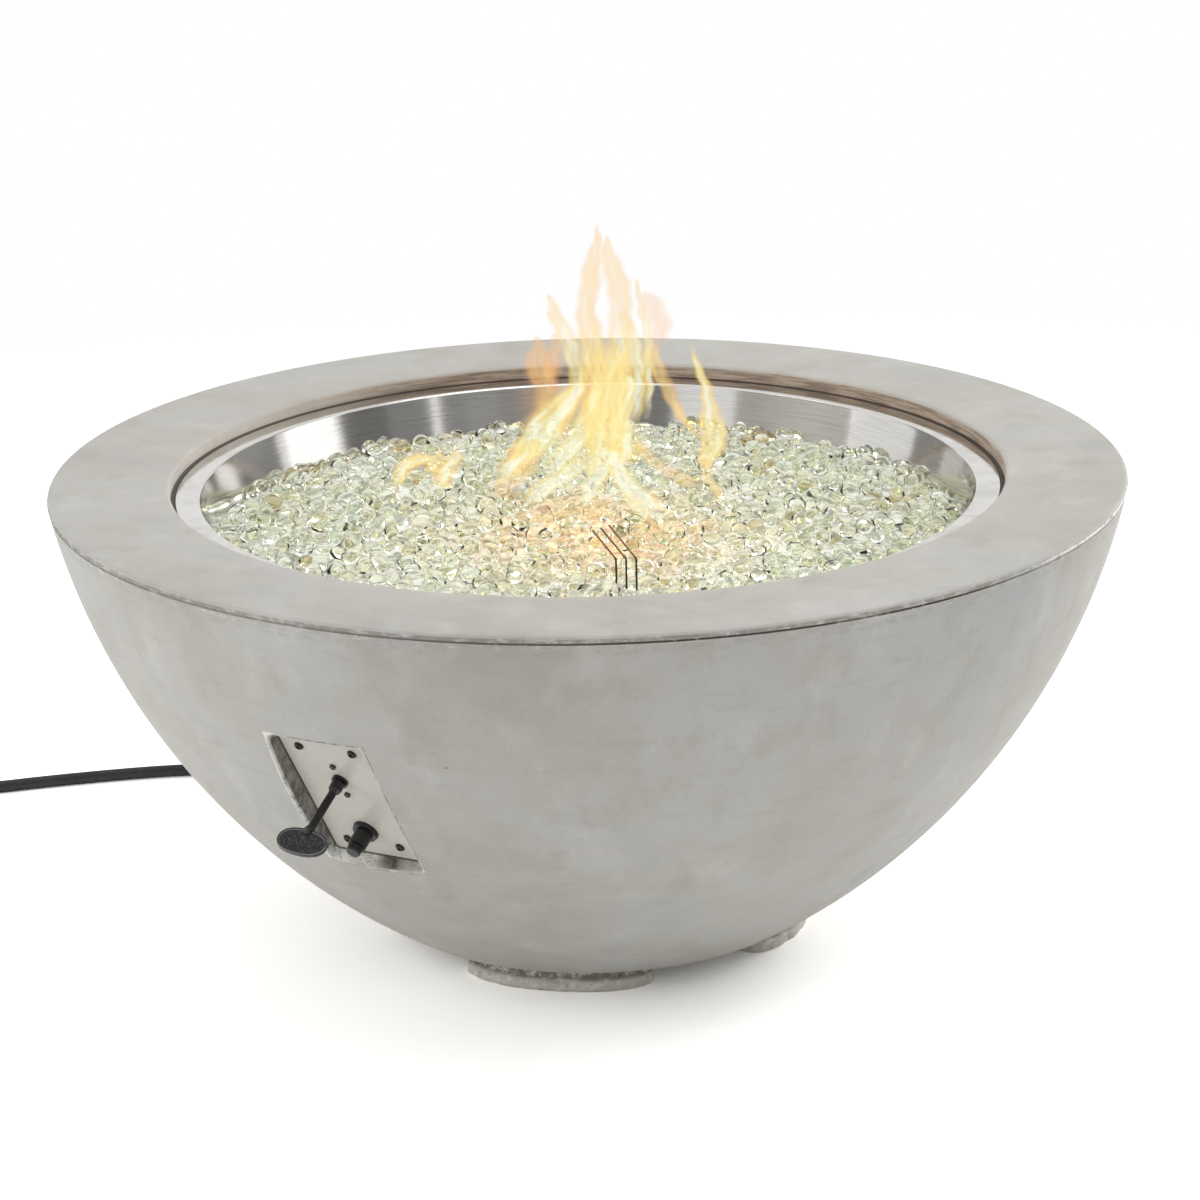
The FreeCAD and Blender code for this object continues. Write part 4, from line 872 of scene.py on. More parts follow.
def foot_outline(inset):
    """The foot's outline seen from above: two long arcs and two round ends."""
    outer, inner, end = FOOT_OUTER - inset, FOOT_INNER + inset, FOOT_END - inset
    narrow = outer - FOOT_TAPER
    half = (narrow - inner) / 2
    sag = end - math.sqrt(max(end**2 - half**2, 0))
    points = []
    for turn in np.linspace(-FOOT_SPAN, FOOT_SPAN, 60):
        reach = outer - FOOT_TAPER * abs(turn / FOOT_SPAN) ** 4
        points.append((reach * math.cos(turn), reach * math.sin(turn)))
    bulge = math.asin(min(1, half / end))
    for side in (1, -1):
        at = FOOT_SPAN * side
        middle = (narrow + inner) / 2
        radial = np.array([math.cos(at), math.sin(at)])
        along = np.array([-math.sin(at), math.cos(at)]) * side
        centre = radial * middle + along * (sag - end)
        for turn in np.linspace(bulge, -bulge, 16)[1:-1] * side:
            spot = centre + radial * end * math.sin(turn) + along * end * math.cos(turn)
            points.append(tuple(spot))
        if side == 1:
            for turn in np.linspace(FOOT_SPAN, -FOOT_SPAN, 60):
                points.append((inner * math.cos(turn), inner * math.sin(turn)))
    return np.array(points)


def foot(index):
    angle = math.radians(FOOT_AZIMUTH - 90 + 90 * index)
    levels = [
        (0.0, 3.2), (0.5, 1.4), (1.6, 0.4), (3.2, 0.0), (5.5, 0.0), (8.0, 0.0), (10.0, 0.4),
        (11.2, 1.4), (11.9, 3.2), (12.0, 6.0), (12.4, 7.6), (14.0, 8.0), (17.0, 8.0), (20.0, 8.0), (27.0, 8.0),
    ]
    rings = []
    for height, inset in levels:
        row = []
        for x, y in foot_outline(inset * MM):
            c, s = math.cos(angle), math.sin(angle)
            point = Vector((c * x - s * y, s * x + c * y, height * MM))
            wobble = noise.noise(point * 70) * 2.4 + noise.noise(point * 210) * 1.6
            chip = max(0.0, noise.noise(point * 55 + Vector((9, 2, 5))) - 0.25) * 9
            edge = 1.0 if 0.3 < inset < 4 and height > 0 else 0.4
            inward = -(abs(wobble) * 0.8 + chip * edge) if height > 0 else -chip * 0.4
            level = Vector((point.x, point.y, 0))
            middle = Vector((math.cos(angle), math.sin(angle), 0)) * (FOOT_OUTER + FOOT_INNER) / 2
            towards = (level - middle).normalized()
            row.append(point + towards * min(0.0, inward) * MM)
        rings.append(row)
    return skin(f"foot_{index}", rings, smooth=50)


for index in range(4):
    combine(bowl, foot(index), "UNION")
print("bowl with feet:", len(bowl.data.polygons), "faces")

# %% Dress the bowl
bowl.data.shade_smooth()
bowl.data.set_sharp_from_angle(angle=math.radians(32))
bowl.data.materials.clear()
bowl.data.materials.append(concrete_finish)
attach(bowl, "fire_pit")
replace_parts(bowl, "concrete_bowl")
print("bowl dressed")

# %% [markdown]
# ## The burner pan
#
# A stainless pan drops into the bowl's mouth and hangs by its lip. Its wall is
# almost a mirror, with fine scratches that run round it from polishing. A
# mirror is only as good as its normals, so it is turned again with many more
# segments than the solid, and with a rolled edge.

# %% Brushed steel
def brushed_steel(name, along=(1, 1, 60), rough=0.07, colour=tone(214, 212, 208)):
    finish = Finish(name)
    lines = cloud(finish, 0.05, 4, stretch=along, rough=0.7)
    fine = cloud(finish, 0.02, 3, stretch=(along[0], along[1], along[2] * 4), rough=0.6)
    haze = cloud(finish, 0.12, 3)
    shade = blend(finish, colour, tone(180, 177, 172), step(finish, lines, 0.42, 0.66, 0, 0.5))
    gloss = rough + 0.07 * step(finish, fine, 0.45, 0.75) + 0.04 * haze
    return surface(
        finish,
        Base_Color=shade,
        Metallic=1.0,
        Roughness=gloss,
        Normal=bump(finish, lines * 0.00002 + fine * 0.000008, 0.5),
    )


pan_finish = brushed_steel("pan_steel")


def pan():
    top, floor, gauge = 456 * MM, 380 * MM, 1.5 * MM
    mouth, foot_radius, lip = 384 * MM, 362 * MM, 408 * MM
    corners = [
        (11.2 * MM, floor - gauge),
        (foot_radius + gauge, floor - gauge),
        (mouth + gauge, top - gauge),
        (lip, top - gauge),
        (lip, top),
        (mouth, top),
        (foot_radius, floor),
        (11.2 * MM, floor),
    ]
    radii = [0, 5 * MM, 1.5 * MM, 0.6 * MM, 0.6 * MM, 3 * MM, 4 * MM, 0]
    piece = turned("pan", rounded(corners, radii, 6), count=360, closed=True, smooth=30)
    piece.data.materials.append(pan_finish)
    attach(piece, "fire_pit")
    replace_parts(piece, "burner_pan")
    return piece


steel_pan = pan()
print("pan:", len(steel_pan.data.polygons), "faces")

# %% [markdown]
# ## The glass gems
#
# The pan is filled with thousands of tumbled glass gems, each about 15 mm
# across. Scattering them at random leaves them inside one another. Instead they
# are dropped one by one: each new gem tries a few spots, comes to rest on the
# gems that are already there, and keeps the lowest. That gives a real heap, with
# every gem touching its neighbours. Only the upper ones can be seen, so the
# lower ones get a coarser mesh.

# %% Drop the gems
PAN_FLOOR, PAN_SLANT = 380 * MM, 22 / 76
GEM_DEPTH, GEM_CREST = 34 * MM, -4.5 * MM
GEM_COUNT, GEM_TRIES = 6500, 7
GEM_SMALL, GEM_LARGE = 7.0 * MM, 10.2 * MM
ELECTRODES = [(x * MM, -234 * MM) for x in (25.5, 35, 44.5)]
draw = np.random.default_rng(11)


def heap_level(reach):
    """The height of the gem bed's surface, a little higher in the middle."""
    return (430 - 6 * (reach / (375 * MM)) ** 2) * MM


def wall_radius(height):
    return 362 * MM + PAN_SLANT * (height - PAN_FLOOR)


def drop_gems():
    cell = 2 * GEM_LARGE
    grid, gems = {}, []
    limit = wall_radius(430 * MM)
    for _ in range(GEM_COUNT):
        size = draw.uniform(GEM_SMALL, GEM_LARGE)
        best = None
        ways = draw.uniform(0, 2 * math.pi, GEM_TRIES)
        for turn, far in zip(ways, np.sqrt(draw.uniform(0, 1, GEM_TRIES))):
            reach = far * (limit - size)
            x, y = reach * math.cos(turn), reach * math.sin(turn)
            if min(math.hypot(x - ex, y - ey) for ex, ey in ELECTRODES) < size + 1.5 * MM:
                continue
            z = heap_level(reach) - GEM_DEPTH
            column, row = int(x // cell), int(y // cell)
            for i in (column - 1, column, column + 1):
                for j in (row - 1, row, row + 1):
                    for ox, oy, oz, other in grid.get((i, j), ()):
                        gap = (size + other) ** 2 - (x - ox) ** 2 - (y - oy) ** 2
                        if gap > 0:
                            z = max(z, oz + 0.86 * math.sqrt(gap))
            sink = z - heap_level(reach)
            if reach + size * 1.06 > wall_radius(z):
                continue
            if best is None or sink < best[0]:
                best = (sink, x, y, z)
        if best is None or best[0] > GEM_CREST:
            continue
        _, x, y, z = best
        grid.setdefault((int(x // cell), int(y // cell)), []).append((x, y, z, size))
        gems.append((x, y, z, size))
    return np.array(gems)


gems = drop_gems()
print("gems:", len(gems), "heights", gems[:, 2].min().round(3), gems[:, 2].max().round(3))

# %% [markdown]
# A gem is a ball pressed a little flat and nudged out of round. A few such
# shapes are enough: each gem takes one of them, turned its own way. The gems
# are gathered into a few large meshes, one for each slice of the pan, because
# thousands of single objects would be slow to handle.

# %% Painted numbers
def paint(piece, name, values):
    """Stores one number for each point of a mesh, for a finish to read."""
    layer = piece.data.attributes.new(name, "FLOAT", "POINT")
    layer.data.foreach_set("value", np.asarray(values, np.float32))


def soft(values, low, high):
    """The same soft step as in the shaders, for arrays."""
    share = np.clip((values - low) / (high - low), 0, 1)
    return share * share * (3 - 2 * share)


print("painting ready")

# %% Gem meshes
GEM_SHAPES = 16
SLICES = 8


def ball(divisions):
    """A ball made from a cube's faces, so that its squares are even."""
    work = bmesh.new()
    bmesh.ops.create_cube(work, size=2)
    bmesh.ops.subdivide_edges(work, edges=work.edges, cuts=divisions - 1, use_grid_fill=True)
    points = np.array([v.co.normalized() for v in work.verts])
    faces = np.array([[v.index for v in f.verts] for f in work.faces])
    work.free()
    return points, faces


def gem_shape(points, index):
    """One gem's own form: slightly lumpy, and flatter than it is wide."""
    lump = [1 + 0.16 * noise.noise(Vector(p) * 1.1 + Vector((index * 7.3, 2.1, 5.7))) for p in points]
    squash = np.array([1.0, draw.uniform(0.82, 1.0), draw.uniform(0.62, 0.92)])
    return points * np.array(lump)[:, None] * squash


def turns_for(count, tilt):
    """Random rotations: any way round, and tilted by up to this much."""
    spin, lean, way = draw.uniform(0, 2 * math.pi, (3, count))
    lean = np.abs(draw.normal(0, tilt, count))
    axis = np.stack([np.cos(way), np.sin(way), np.zeros(count)], 1)
    c, s = np.cos(lean), np.sin(lean)
    cross = np.zeros((count, 3, 3))
    cross[:, 0, 2], cross[:, 1, 2] = axis[:, 1], -axis[:, 0]
    cross[:, 2, 0], cross[:, 2, 1] = -axis[:, 1], axis[:, 0]
    tilted = np.eye(3) * c[:, None, None] + s[:, None, None] * cross
    tilted += (1 - c)[:, None, None] * axis[:, :, None] * axis[:, None, :]
    spun = np.zeros((count, 3, 3))
    spun[:, 0, 0], spun[:, 0, 1] = np.cos(spin), -np.sin(spin)
    spun[:, 1, 0], spun[:, 1, 1] = np.sin(spin), np.cos(spin)
    spun[:, 2, 2] = 1
    return tilted @ spun


def gem_mesh(name, chosen, divisions):
    """All the chosen gems as one mesh, with each gem's tint painted on it."""
    points, faces = ball(divisions)
    shapes = np.array([gem_shape(points, k) for k in range(GEM_SHAPES)])
    count = len(chosen)
    mine = shapes[draw.integers(0, GEM_SHAPES, count)]
    rotated = np.einsum("kij,kpj->kpi", turns_for(count, 0.5), mine)
    placed = rotated * (chosen[:, 3] * 1.04)[:, None, None] + chosen[:, None, :3]
    every = faces[None] + (np.arange(count) * len(points))[:, None, None]
    data = bpy.data.meshes.new(name)
    data.from_pydata(placed.reshape(-1, 3), [], every.reshape(-1, 4))
    data.shade_smooth()
    piece = bpy.data.objects.new(name, data)
    bpy.context.scene.collection.objects.link(piece)
    tint = np.repeat(draw.uniform(0, 1, count), len(points))
    paint(piece, "tint", tint)
    return piece


print("gem shapes:", GEM_SHAPES)

# %% [markdown]
# Clear glass takes its looks from what is behind it. Most gems have a trace of
# green, some are the colour of straw, and a few are smoky. The base colour of a
# transmissive shader tints the light that passes through, so it stays close to
# white. Near the flames the gems take an amber glow from the fire's lamp and
# from the painted firelight of the mound beneath them.

# %% Glass finish
def glass():
    finish = Finish("tumbled_glass")
    tint = attribute(finish, "tint")
    colour = finish.node(
        "ValToRGB",
        {
            "stops": [
                (0.00, tone(248, 252, 245)),
                (0.35, tone(252, 251, 243)),
                (0.62, tone(240, 247, 231)),
                (0.82, tone(251, 247, 232)),
                (0.95, tone(236, 237, 214)),
                (0.99, tone(222, 208, 174)),
            ]
        },
        {"Fac": tint},
    )
    lumps = cloud(finish, 0.006, 2)
    haze = cloud(finish, 0.004, 3)
    return surface(
        finish,
        Base_Color=colour,
        Roughness=0.02 + 0.05 * step(finish, haze, 0.55, 0.75),
        Transmission_Weight=1.0,
        IOR=1.46,
        Normal=bump(finish, lumps * 0.0003, 0.5),
    )


glass_finish = glass()


def lay_gems():
    angle = np.arctan2(gems[:, 1], gems[:, 0]) + math.pi
    slice_of = np.minimum((angle / (2 * math.pi) * SLICES).astype(int), SLICES - 1)
    level = heap_level(np.hypot(gems[:, 0], gems[:, 1]))
    upper = gems[:, 2] > level - 18 * MM
    total = 0
    for index in range(SLICES):
        for label, rows, divisions in (("top", upper, 5), ("under", ~upper, 2)):
            chosen = gems[(slice_of == index) & rows]
            piece = gem_mesh(f"gems_{label}_{index}", chosen, divisions)
            piece.data.materials.append(glass_finish)
            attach(piece, "fire_pit")
            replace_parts(piece, "glass_gem_bed")
            total += len(piece.data.polygons)
    return total, int(upper.sum())


print("gem faces and upper gems:", lay_gems())

# %% [markdown]
# Looking between the gems one sees deeper gems, never the pan's floor. A low
# mound in the colour of shaded glass closes the view there. It glows a little as
# painted light, in place of the light that a deep bed of clear glass throws back
# up, and glows amber near the flame as painted firelight.

# %% The bed under the gems
FLAME_FOOT = (14 * MM, -50 * MM)


def bed():
    finish = Finish("glowing_deep_glass")
    mix = cloud(finish, 0.012, 4, rough=0.7)
    x, y, _ = apart(finish, place_in(finish))
    # Near the flame's foot the mound glows amber, as painted firelight
    fire_glow_share = step(finish, length(finish, x - FLAME_FOOT[0], y - FLAME_FOOT[1]), 0.21, 0.03)
    fine = cloud(finish, 0.004, 4, rough=0.7)
    patch = step(finish, mix * 0.5 + fine * 0.5, 0.40, 0.58)
    pale = blend(finish, tone(150, 156, 140), tone(250, 251, 244), patch)
    glow = blend(finish, tone(196, 148, 100), tone(255, 234, 200), patch)
    colour = blend(finish, pale, glow, fire_glow_share * 0.7)
    # The mound glows a little, as painted light standing in for light thrown back up through the gems
    material = surface(
        finish,
        Base_Color=colour,
        Roughness=0.45,
        Emission_Color=colour,
        Emission_Strength=0.30,
        Normal=bump(finish, mix * 0.004, 1.0),
    )
    top = [(r * MM, heap_level(r * MM) - 17 * MM) for r in (366, 330, 280, 220, 160, 100, 50, 5)]
    piece = turned("gem_bed_core", [(366 * MM, 398 * MM), *top, (5 * MM, 406 * MM)], count=120)
    piece.data.materials.append(material)
    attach(piece, "fire_pit")
    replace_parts(piece, "glass_gem_bed")
    return piece


bed_core = bed()
print("bed core:", len(bed_core.data.polygons), "faces")

# %% [markdown]
# ## Plain finishes for the fittings
#
# The parts behind the panel and at the end of the hose are metal, rubber and
# plastic. Each record slot gets a finish of its own, and every solid that still
# shows takes the finish of its slot. None is one flat colour: each drifts between
# two tones, with a fine grain of its own.

# %% Fittings' finishes
def plain(name, colour, second, metal=0.0, rough=0.4, grain=0.002, relief=0.00004, spread=0.15, coat=0.0):
    """A finish that drifts between two colours, with a fine grain."""
    finish = Finish(name)
    drift = cloud(finish, 0.03, 4, rough=0.6)
    fine = cloud(finish, grain, 3, rough=0.6)
    shade = blend(finish, colour, second, step(finish, drift * 0.5 + fine * 0.5, 0.40, 0.62))
    return surface(
        finish,
        Base_Color=shade,
        Metallic=metal,
        Roughness=rough + spread * (drift - 0.5),
        Coat_Weight=coat,
        Normal=bump(finish, fine * relief, 0.7),
    )


finishes = {
    "concrete": concrete_finish,
    "gems": glass_finish,
    "pan_steel": brushed_steel("sheet_steel", along=(1, 1, 20), rough=0.28),
    "panel_paint": plain("panel_paint", tone(204, 200, 189), tone(210, 206, 196), rough=0.30),
    "plated_steel": plain("plated_steel", tone(200, 199, 196), tone(178, 178, 178), 1.0, 0.30),
    "black_plated": plain("black_plated", tone(36, 35, 34), tone(24, 23, 23), 0.3, 0.34),
    "dark_steel": plain("dark_steel", tone(66, 60, 54), tone(40, 37, 35), 0.8, 0.42),
    "brass": plain("brass", tone(196, 166, 98), tone(170, 138, 76), 1.0, 0.28, 0.004),
    "key_black": plain("key_black", tone(16, 16, 17), tone(24, 24, 25), 0.0, 0.24, 0.0012, 0.00006, 0.08),
    "igniter_black": plain("igniter_black", tone(18, 18, 19), tone(26, 26, 27), 0.0, 0.34, 0.001, 0.00005, 0.1),
    "ceramic": plain("ceramic", tone(236, 232, 222), tone(222, 216, 202), 0.0, 0.55),
    "hose_rubber": plain("hose_rubber", tone(38, 38, 40), tone(26, 26, 28), 0.0, 0.55, 0.002, 0.0001),
    "lead_rubber": plain("lead_rubber", tone(170, 60, 48), tone(150, 48, 40), 0.0, 0.5),
    "seal_white": plain("seal_white", tone(238, 238, 234), tone(228, 228, 222), 0.0, 0.45),
    "regulator_cast": plain("regulator_cast", tone(150, 150, 148), tone(132, 132, 131), 0.9, 0.5, 0.0015, 0.0002),
    "cell_jacket": plain("cell_jacket", tone(60, 60, 62), tone(48, 48, 50), 0.6, 0.35),
}
for row in frame["record"]["subparts"]:
    solid = frame["nodes"][row["node"]]
    solid.data.materials.clear()
    solid.data.materials.append(finishes[row["material_slot"]])
frame["nodes"]["valve_gland"].data.materials.clear()
frame["nodes"]["valve_gland"].data.materials.append(finishes["black_plated"])
gas_hose.data.materials.append(finishes["hose_rubber"])
print("finishes:", len(finishes))

# %% [markdown]
# ## The key
#
# The gas valve is turned with a long key: a socket at the plate, a thin shaft,
# and a flat oval head with a raised border. The head's face is rough from its
# mould. Rings of a squared oval, each a little smaller than the last, round all
# of its edges at once.

# %% Key
VALVE_AT, KEY_TURN = (-1.2 * MM, 22.6 * MM), math.radians(-6.9)
KEY_FOOT, KEY_MIDDLE = 3.1 * MM, 75.3 * MM
KEY_WIDE, KEY_HIGH = 50.7 * MM, 28.6 * MM
key_place = panel @ Matrix.Translation((*VALVE_AT, 0)) @ Matrix.Rotation(KEY_TURN, 4, "Z")


def key_shaft():
    foot, neck = KEY_FOOT, KEY_MIDDLE - KEY_HIGH / 2 - 0.8 * MM
    corners = [
        (0.2 * MM, foot),
        (6.5 * MM, foot),
        (6.5 * MM, foot + 2.0 * MM),
        (6.3 * MM, foot + 3.0 * MM),
        (6.3 * MM, foot + 6.0 * MM),
        (6.1 * MM, foot + 7.0 * MM),
        (5.9 * MM, foot + 9.2 * MM),
        (3.9 * MM, foot + 12.4 * MM),
        (3.9 * MM, neck - 3 * MM),
        (5.7 * MM, neck + 1.5 * MM),
        (3.5 * MM, neck + 8 * MM),
        (0.2 * MM, neck + 8 * MM),
    ]
    radii = [0, 0.4, 0.3, 0.3, 0.3, 0.3, 0.4, 1.2, 2, 1.5, 1, 0]
    return turned("key_shaft", rounded(corners, [r * MM for r in radii], 3), key_place)


def squared_oval(inset, level, count=96):
    turn = np.arange(count) * 2 * math.pi / count
    power = 2 / 2.35
    across = (KEY_WIDE / 2 - inset) * np.sign(np.cos(turn)) * np.abs(np.cos(turn)) ** power
    along = (KEY_HIGH / 2 - inset) * np.sign(np.sin(turn)) * np.abs(np.sin(turn)) ** power
    return np.stack([across, np.full(count, level), KEY_MIDDLE + along], 1)


def key_head():
    front = [(14.0, 1.5), (8.0, 1.5), (3.6, 1.5), (2.9, 1.6), (2.5, 2.2), (2.0, 2.5), (0.9, 2.5), (0.3, 2.2), (0, 1.5)]
    rings = [squared_oval(inset * MM, level * MM) for inset, level in front]
    rings += [squared_oval(inset * MM, -level * MM) for inset, level in reversed(front)]
    return skin("key_head", rings, key_place)


def key_face():
    finish = Finish("key_face")
    fine = cloud(finish, 0.0014, 3, rough=0.6)
    worm = cloud(finish, 0.0022, 2, rough=0.6, warp=1.2)
    _, level, _ = seen_from(finish, key_place)
    flat = finish.node("Math", {"operation": "ABSOLUTE"}, {0: level})
    face = step(finish, flat, 1.62 * MM, 1.52 * MM)
    raised = step(finish, worm, 0.52, 0.58)
    # A pale band on the slopes of the raised border: a painted highlight, and partly wear
    pale_edge_band = band(finish, flat, 1.70 * MM, 2.42 * MM, 0.06 * MM)
    colour = blend(finish, tone(24, 24, 25), tone(124, 124, 126), face * raised * 0.5)
    colour = blend(finish, colour, tone(150, 150, 152), pale_edge_band * 0.55)
    return surface(
        finish,
        Base_Color=colour,
        Roughness=0.16 + 0.2 * face,
        Specular_IOR_Level=0.45,
        Normal=bump(finish, face * raised * 0.0008 + fine * 0.00005, 1.0),
    )


key_pieces = [key_shaft(), key_head()]
for piece, finish in zip(key_pieces, (finishes["key_black"], key_face())):
    piece.data.materials.append(finish)
    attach(piece, "key")
    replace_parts(piece, "valve_key")
print("key head", round(KEY_WIDE / MM, 1), "by", round(KEY_HIGH / MM, 1), "mm")

# %% [markdown]
# ## The igniter
#
# The igniter is a spark maker with a battery under a ribbed cap, and the push
# button stands in the cap's middle. Ribs come from a radius that follows a wave
# round the ring. The button rides on its own body, so it stays a piece of its
# own.

# %% Igniter
IGNITER_AT = (-2 * MM, -48.2 * MM)
RIBS = 18
igniter_place = panel @ Matrix.Translation((*IGNITER_AT, 0))


def ribbed_ring(radius, level, depth, count=216):
    turn = np.arange(count) * 2 * math.pi / count
    wave = np.clip(np.cos(turn * RIBS) * 1.6, -1, 1)
    reach = radius - depth * (1 - wave) / 2
    return np.stack([reach * np.cos(turn), reach * np.sin(turn), np.full(count, level)], 1)


def igniter_grip():
    levels = [
        (7.15, 19.6, 0), (7.5, 20.0, 0), (8.2, 19.9, 0), (8.6, 19.4, 0.15), (8.7, 18.6, 0.45),
        (8.7, 6.0, 0.45), (8.7, 5.0, 0.1), (8.7, 4.1, 0), (7.2, 4.1, 0),
    ]
    rings = [ribbed_ring(r * MM, z * MM, d * MM) for r, z, d in levels]
    return skin("igniter_grip", rings, igniter_place, closed=True, smooth=50)


grip = igniter_grip()
grip.data.materials.append(finishes["igniter_black"])
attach(grip, "fire_pit")
print("igniter grip:", len(grip.data.polygons), "faces")

# %% [markdown]
# ## Screws
#
# The plate is held by four screws with round heads and a hexagonal socket. A
# screw head is turned, and the socket is a ring that changes from a circle to a
# hexagon with the same number of points.

# %% Screw heads
SCREW_ACROSS, SCREW_UP = 29.25 * MM, 65.3 * MM


def hexagon(radius, level, count=48):
    turn = np.arange(count) * 2 * math.pi / count
    flat = np.abs((turn % (math.pi / 3)) - math.pi / 6)
    reach = radius * math.cos(math.pi / 6) / np.cos(flat)
    return np.stack([reach * np.cos(turn), reach * np.sin(turn), np.full(count, level)], 1)


def screw_head(name, place):
    rings = [ring(4.7 * MM, 0.05 * MM), ring(4.7 * MM, 0.5 * MM), ring(4.3 * MM, 0.75 * MM), ring(4.1 * MM, 0.75 * MM)]
    rings += [ring(r * MM, z * MM) for r, z in ((4.1, 1.3), (3.8, 1.9), (3.2, 2.4), (2.5, 2.65), (2.1, 2.7))]
    rings += [hexagon(1.9 * MM, 2.65 * MM), hexagon(1.8 * MM, 1.0 * MM)]
    head = skin(name, rings, place, smooth=50)
    head.data.materials.append(finishes["dark_steel"])
    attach(head, "fire_pit")
    return head


for index, (across, up) in enumerate(((-1, 1), (1, 1), (1, -1), (-1, -1))):
    at = panel @ Matrix.Translation((SCREW_ACROSS * across, SCREW_UP * up, 0))
    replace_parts(screw_head(f"plate_screw_{index}", at), "panel_screws")
print("plate screws: 4")

# %% [markdown]
# ## The electrodes
#
# Three thin wires stand in the gems at the front: they make the spark and feel
# the flame. Where they reach into the fire they have turned brown. A curve with
# a round section is the simplest way to bend a wire, with three points close
# together at the bend to round it.

# %% Electrodes
BEND_HEIGHT, LEAN_WAY = 448 * MM, Vector((-0.866, 0.5, 1.0))
WIRES = {"sensing_electrode": 25 * MM, "ground_electrode": 27 * MM, "spark_electrode": 29 * MM}


def burnt_wire():
    finish = Finish("burnt_wire")
    height = apart(finish, place_in(finish))[2]
    mottle = cloud(finish, 0.004, 3)
    hot = step(finish, height + mottle * 0.006, 450 * MM, 456 * MM)
    colour = blend(finish, tone(58, 54, 49), tone(150, 104, 74), hot)
    return surface(finish, Base_Color=colour, Metallic=0.6, Roughness=0.45 + 0.1 * mottle)


wire_finish = burnt_wire()
for node_name, reach in sorted(WIRES.items()):
    low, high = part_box(node_name)
    place = Vector((high[0], (low[1] + high[1]) / 2, 0)) - Vector((1.2 * MM, 0, 0))
    place.y = ELECTRODES[0][1]
    bend = Vector((place.x, place.y, BEND_HEIGHT))
    along = LEAN_WAY.normalized()
    tip = bend + LEAN_WAY * reach
    points = [Vector((place.x, place.y, low[2])), bend - Vector((0, 0, 2.5 * MM)), bend, bend + along * 2.5 * MM, tip]
    wire = hose_curve(node_name + "_wire", points, 0.95 * MM)
    wire.data.materials.append(wire_finish)
    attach(wire, "fire_pit")
    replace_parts(wire, node_name)
    print(node_name, [round(c / MM, 1) for c in tip])

# %% [markdown]
# ## The flame
#
# The fire is light, not a part, so it is staged. Real flames have soft edges and
# no surface. A simulation of gas would be slow and hard to steer, so the flame
# is drawn: each tongue is a bent stroke with a width at each point. A fine grid
# stands in the fire, and every point of it is told how thick and how hot the
# flame is there. One grid faces the front, and a second stands across it, so
# that the fire has a body from the side as well.

# %% Tongues of flame
FLAME_LEVEL = 430 * MM
FLAME_FRONT, FLAME_BACK, FLAME_TALL = -75 * MM, -15 * MM, 285 * MM

# Each tongue: how hot, how dense, and points of across, up and half width in millimetres
TONGUES = [
    (0.55, 0.85, [(13, 59, 14), (11, 107, 15), (9, 156, 14), (5, 190, 13), (2, 213, 10), (7, 239, 11), (12, 262, 7), (15, 288, 1)]),
    (0.75, 0.85, [(27, 63, 11), (29, 127, 12), (33, 176, 13), (37, 210, 12), (32, 239, 12), (25, 262, 7), (22, 278, 1)]),
    (0.75, 0.85, [(-39, 78, 12), (-27, 103, 12), (-15, 124, 9), (-7, 139, 7), (-10, 161, 7), (-18, 184, 9), (-27, 203, 8), (-34, 223, 1)]),
    (0.80, 0.80, [(60, 107, 3), (62, 142, 3.5), (62, 171, 4), (59, 200, 4), (54, 220, 3), (50, 236, 1)]),
    (0.05, 0.55, [(72, 176, 6), (75, 195, 12), (68, 212, 10), (60, 222, 3)]),
    (0.35, 0.75, [(62, 181, 6), (69, 156, 7), (80, 132, 7), (90, 112, 5), (100, 96, 2.5), (106, 88, 1)]),
    (0.60, 0.85, [(104, 176, 1), (109, 156, 3), (116, 135, 5), (121, 115, 8), (122, 98, 14), (124, 83, 14), (118, 66, 9)]),
    (0.45, 0.55, [(118, 66, 8), (115, 51, 4), (124, 34, 4), (129, 26, 1)]),
    (0.15, 0.60, [(-40, 110, 10), (-38, 138, 12), (-45, 156, 15), (-46, 181, 4)]),
    (0.15, 0.55, [(-38, 140, 8), (-30, 160, 10), (-30, 184, 3)]),
    (0.85, 0.85, [(-86, 49, 5), (-71, 63, 12), (-57, 78, 15), (-42, 98, 18), (-25, 115, 14), (-9, 132, 10)]),
    (0.50, 0.80, [(16, 63, 18), (16, 98, 18), (19, 127, 22), (25, 156, 20)]),
    (0.95, 0.75, [(-39, 51, 5), (-27, 66, 10), (-12, 83, 10), (1, 102, 10), (8, 127, 9)]),
    (0.70, 0.80, [(45, 98, 6), (51, 122, 9), (51, 151, 10), (45, 176, 10), (39, 200, 6)]),
    (1.00, 0.85, [(37, 59, 7), (37, 88, 6), (40, 117, 5), (43, 142, 4)]),
    (1.00, 0.80, [(-9, 25, 4), (1, 37, 9), (11, 54, 11), (19, 68, 12)]),
    (0.95, 0.75, [(-65, 23, 4), (-54, 33, 8), (-39, 43, 8), (-22, 51, 7), (-7, 63, 7)]),
    (1.00, 0.85, [(67, 12, 5), (58, 21, 13), (43, 34, 11), (33, 51, 9), (26, 66, 10)]),
    (0.30, 0.50, [(110, 39, 3), (92, 45, 6), (76, 56, 6), (63, 66, 5), (49, 78, 4)]),
    (0.30, 0.45, [(-96, 34, 4), (-81, 44, 9), (-66, 54, 9), (-52, 66, 8)]),
    (0.25, 0.28, [(-57, 10, 8), (-27, 20, 14), (13, 18, 12)]),
    (0.10, 0.50, [(-78, 72, 5), (-66, 76, 9), (-52, 80, 8)]),
    (0.60, 0.45, [(-6, 70, 20), (20, 90, 26), (44, 76, 14)]),
    (1.00, 0.60, [(10, 74, 8), (35, 70, 8)]),
]
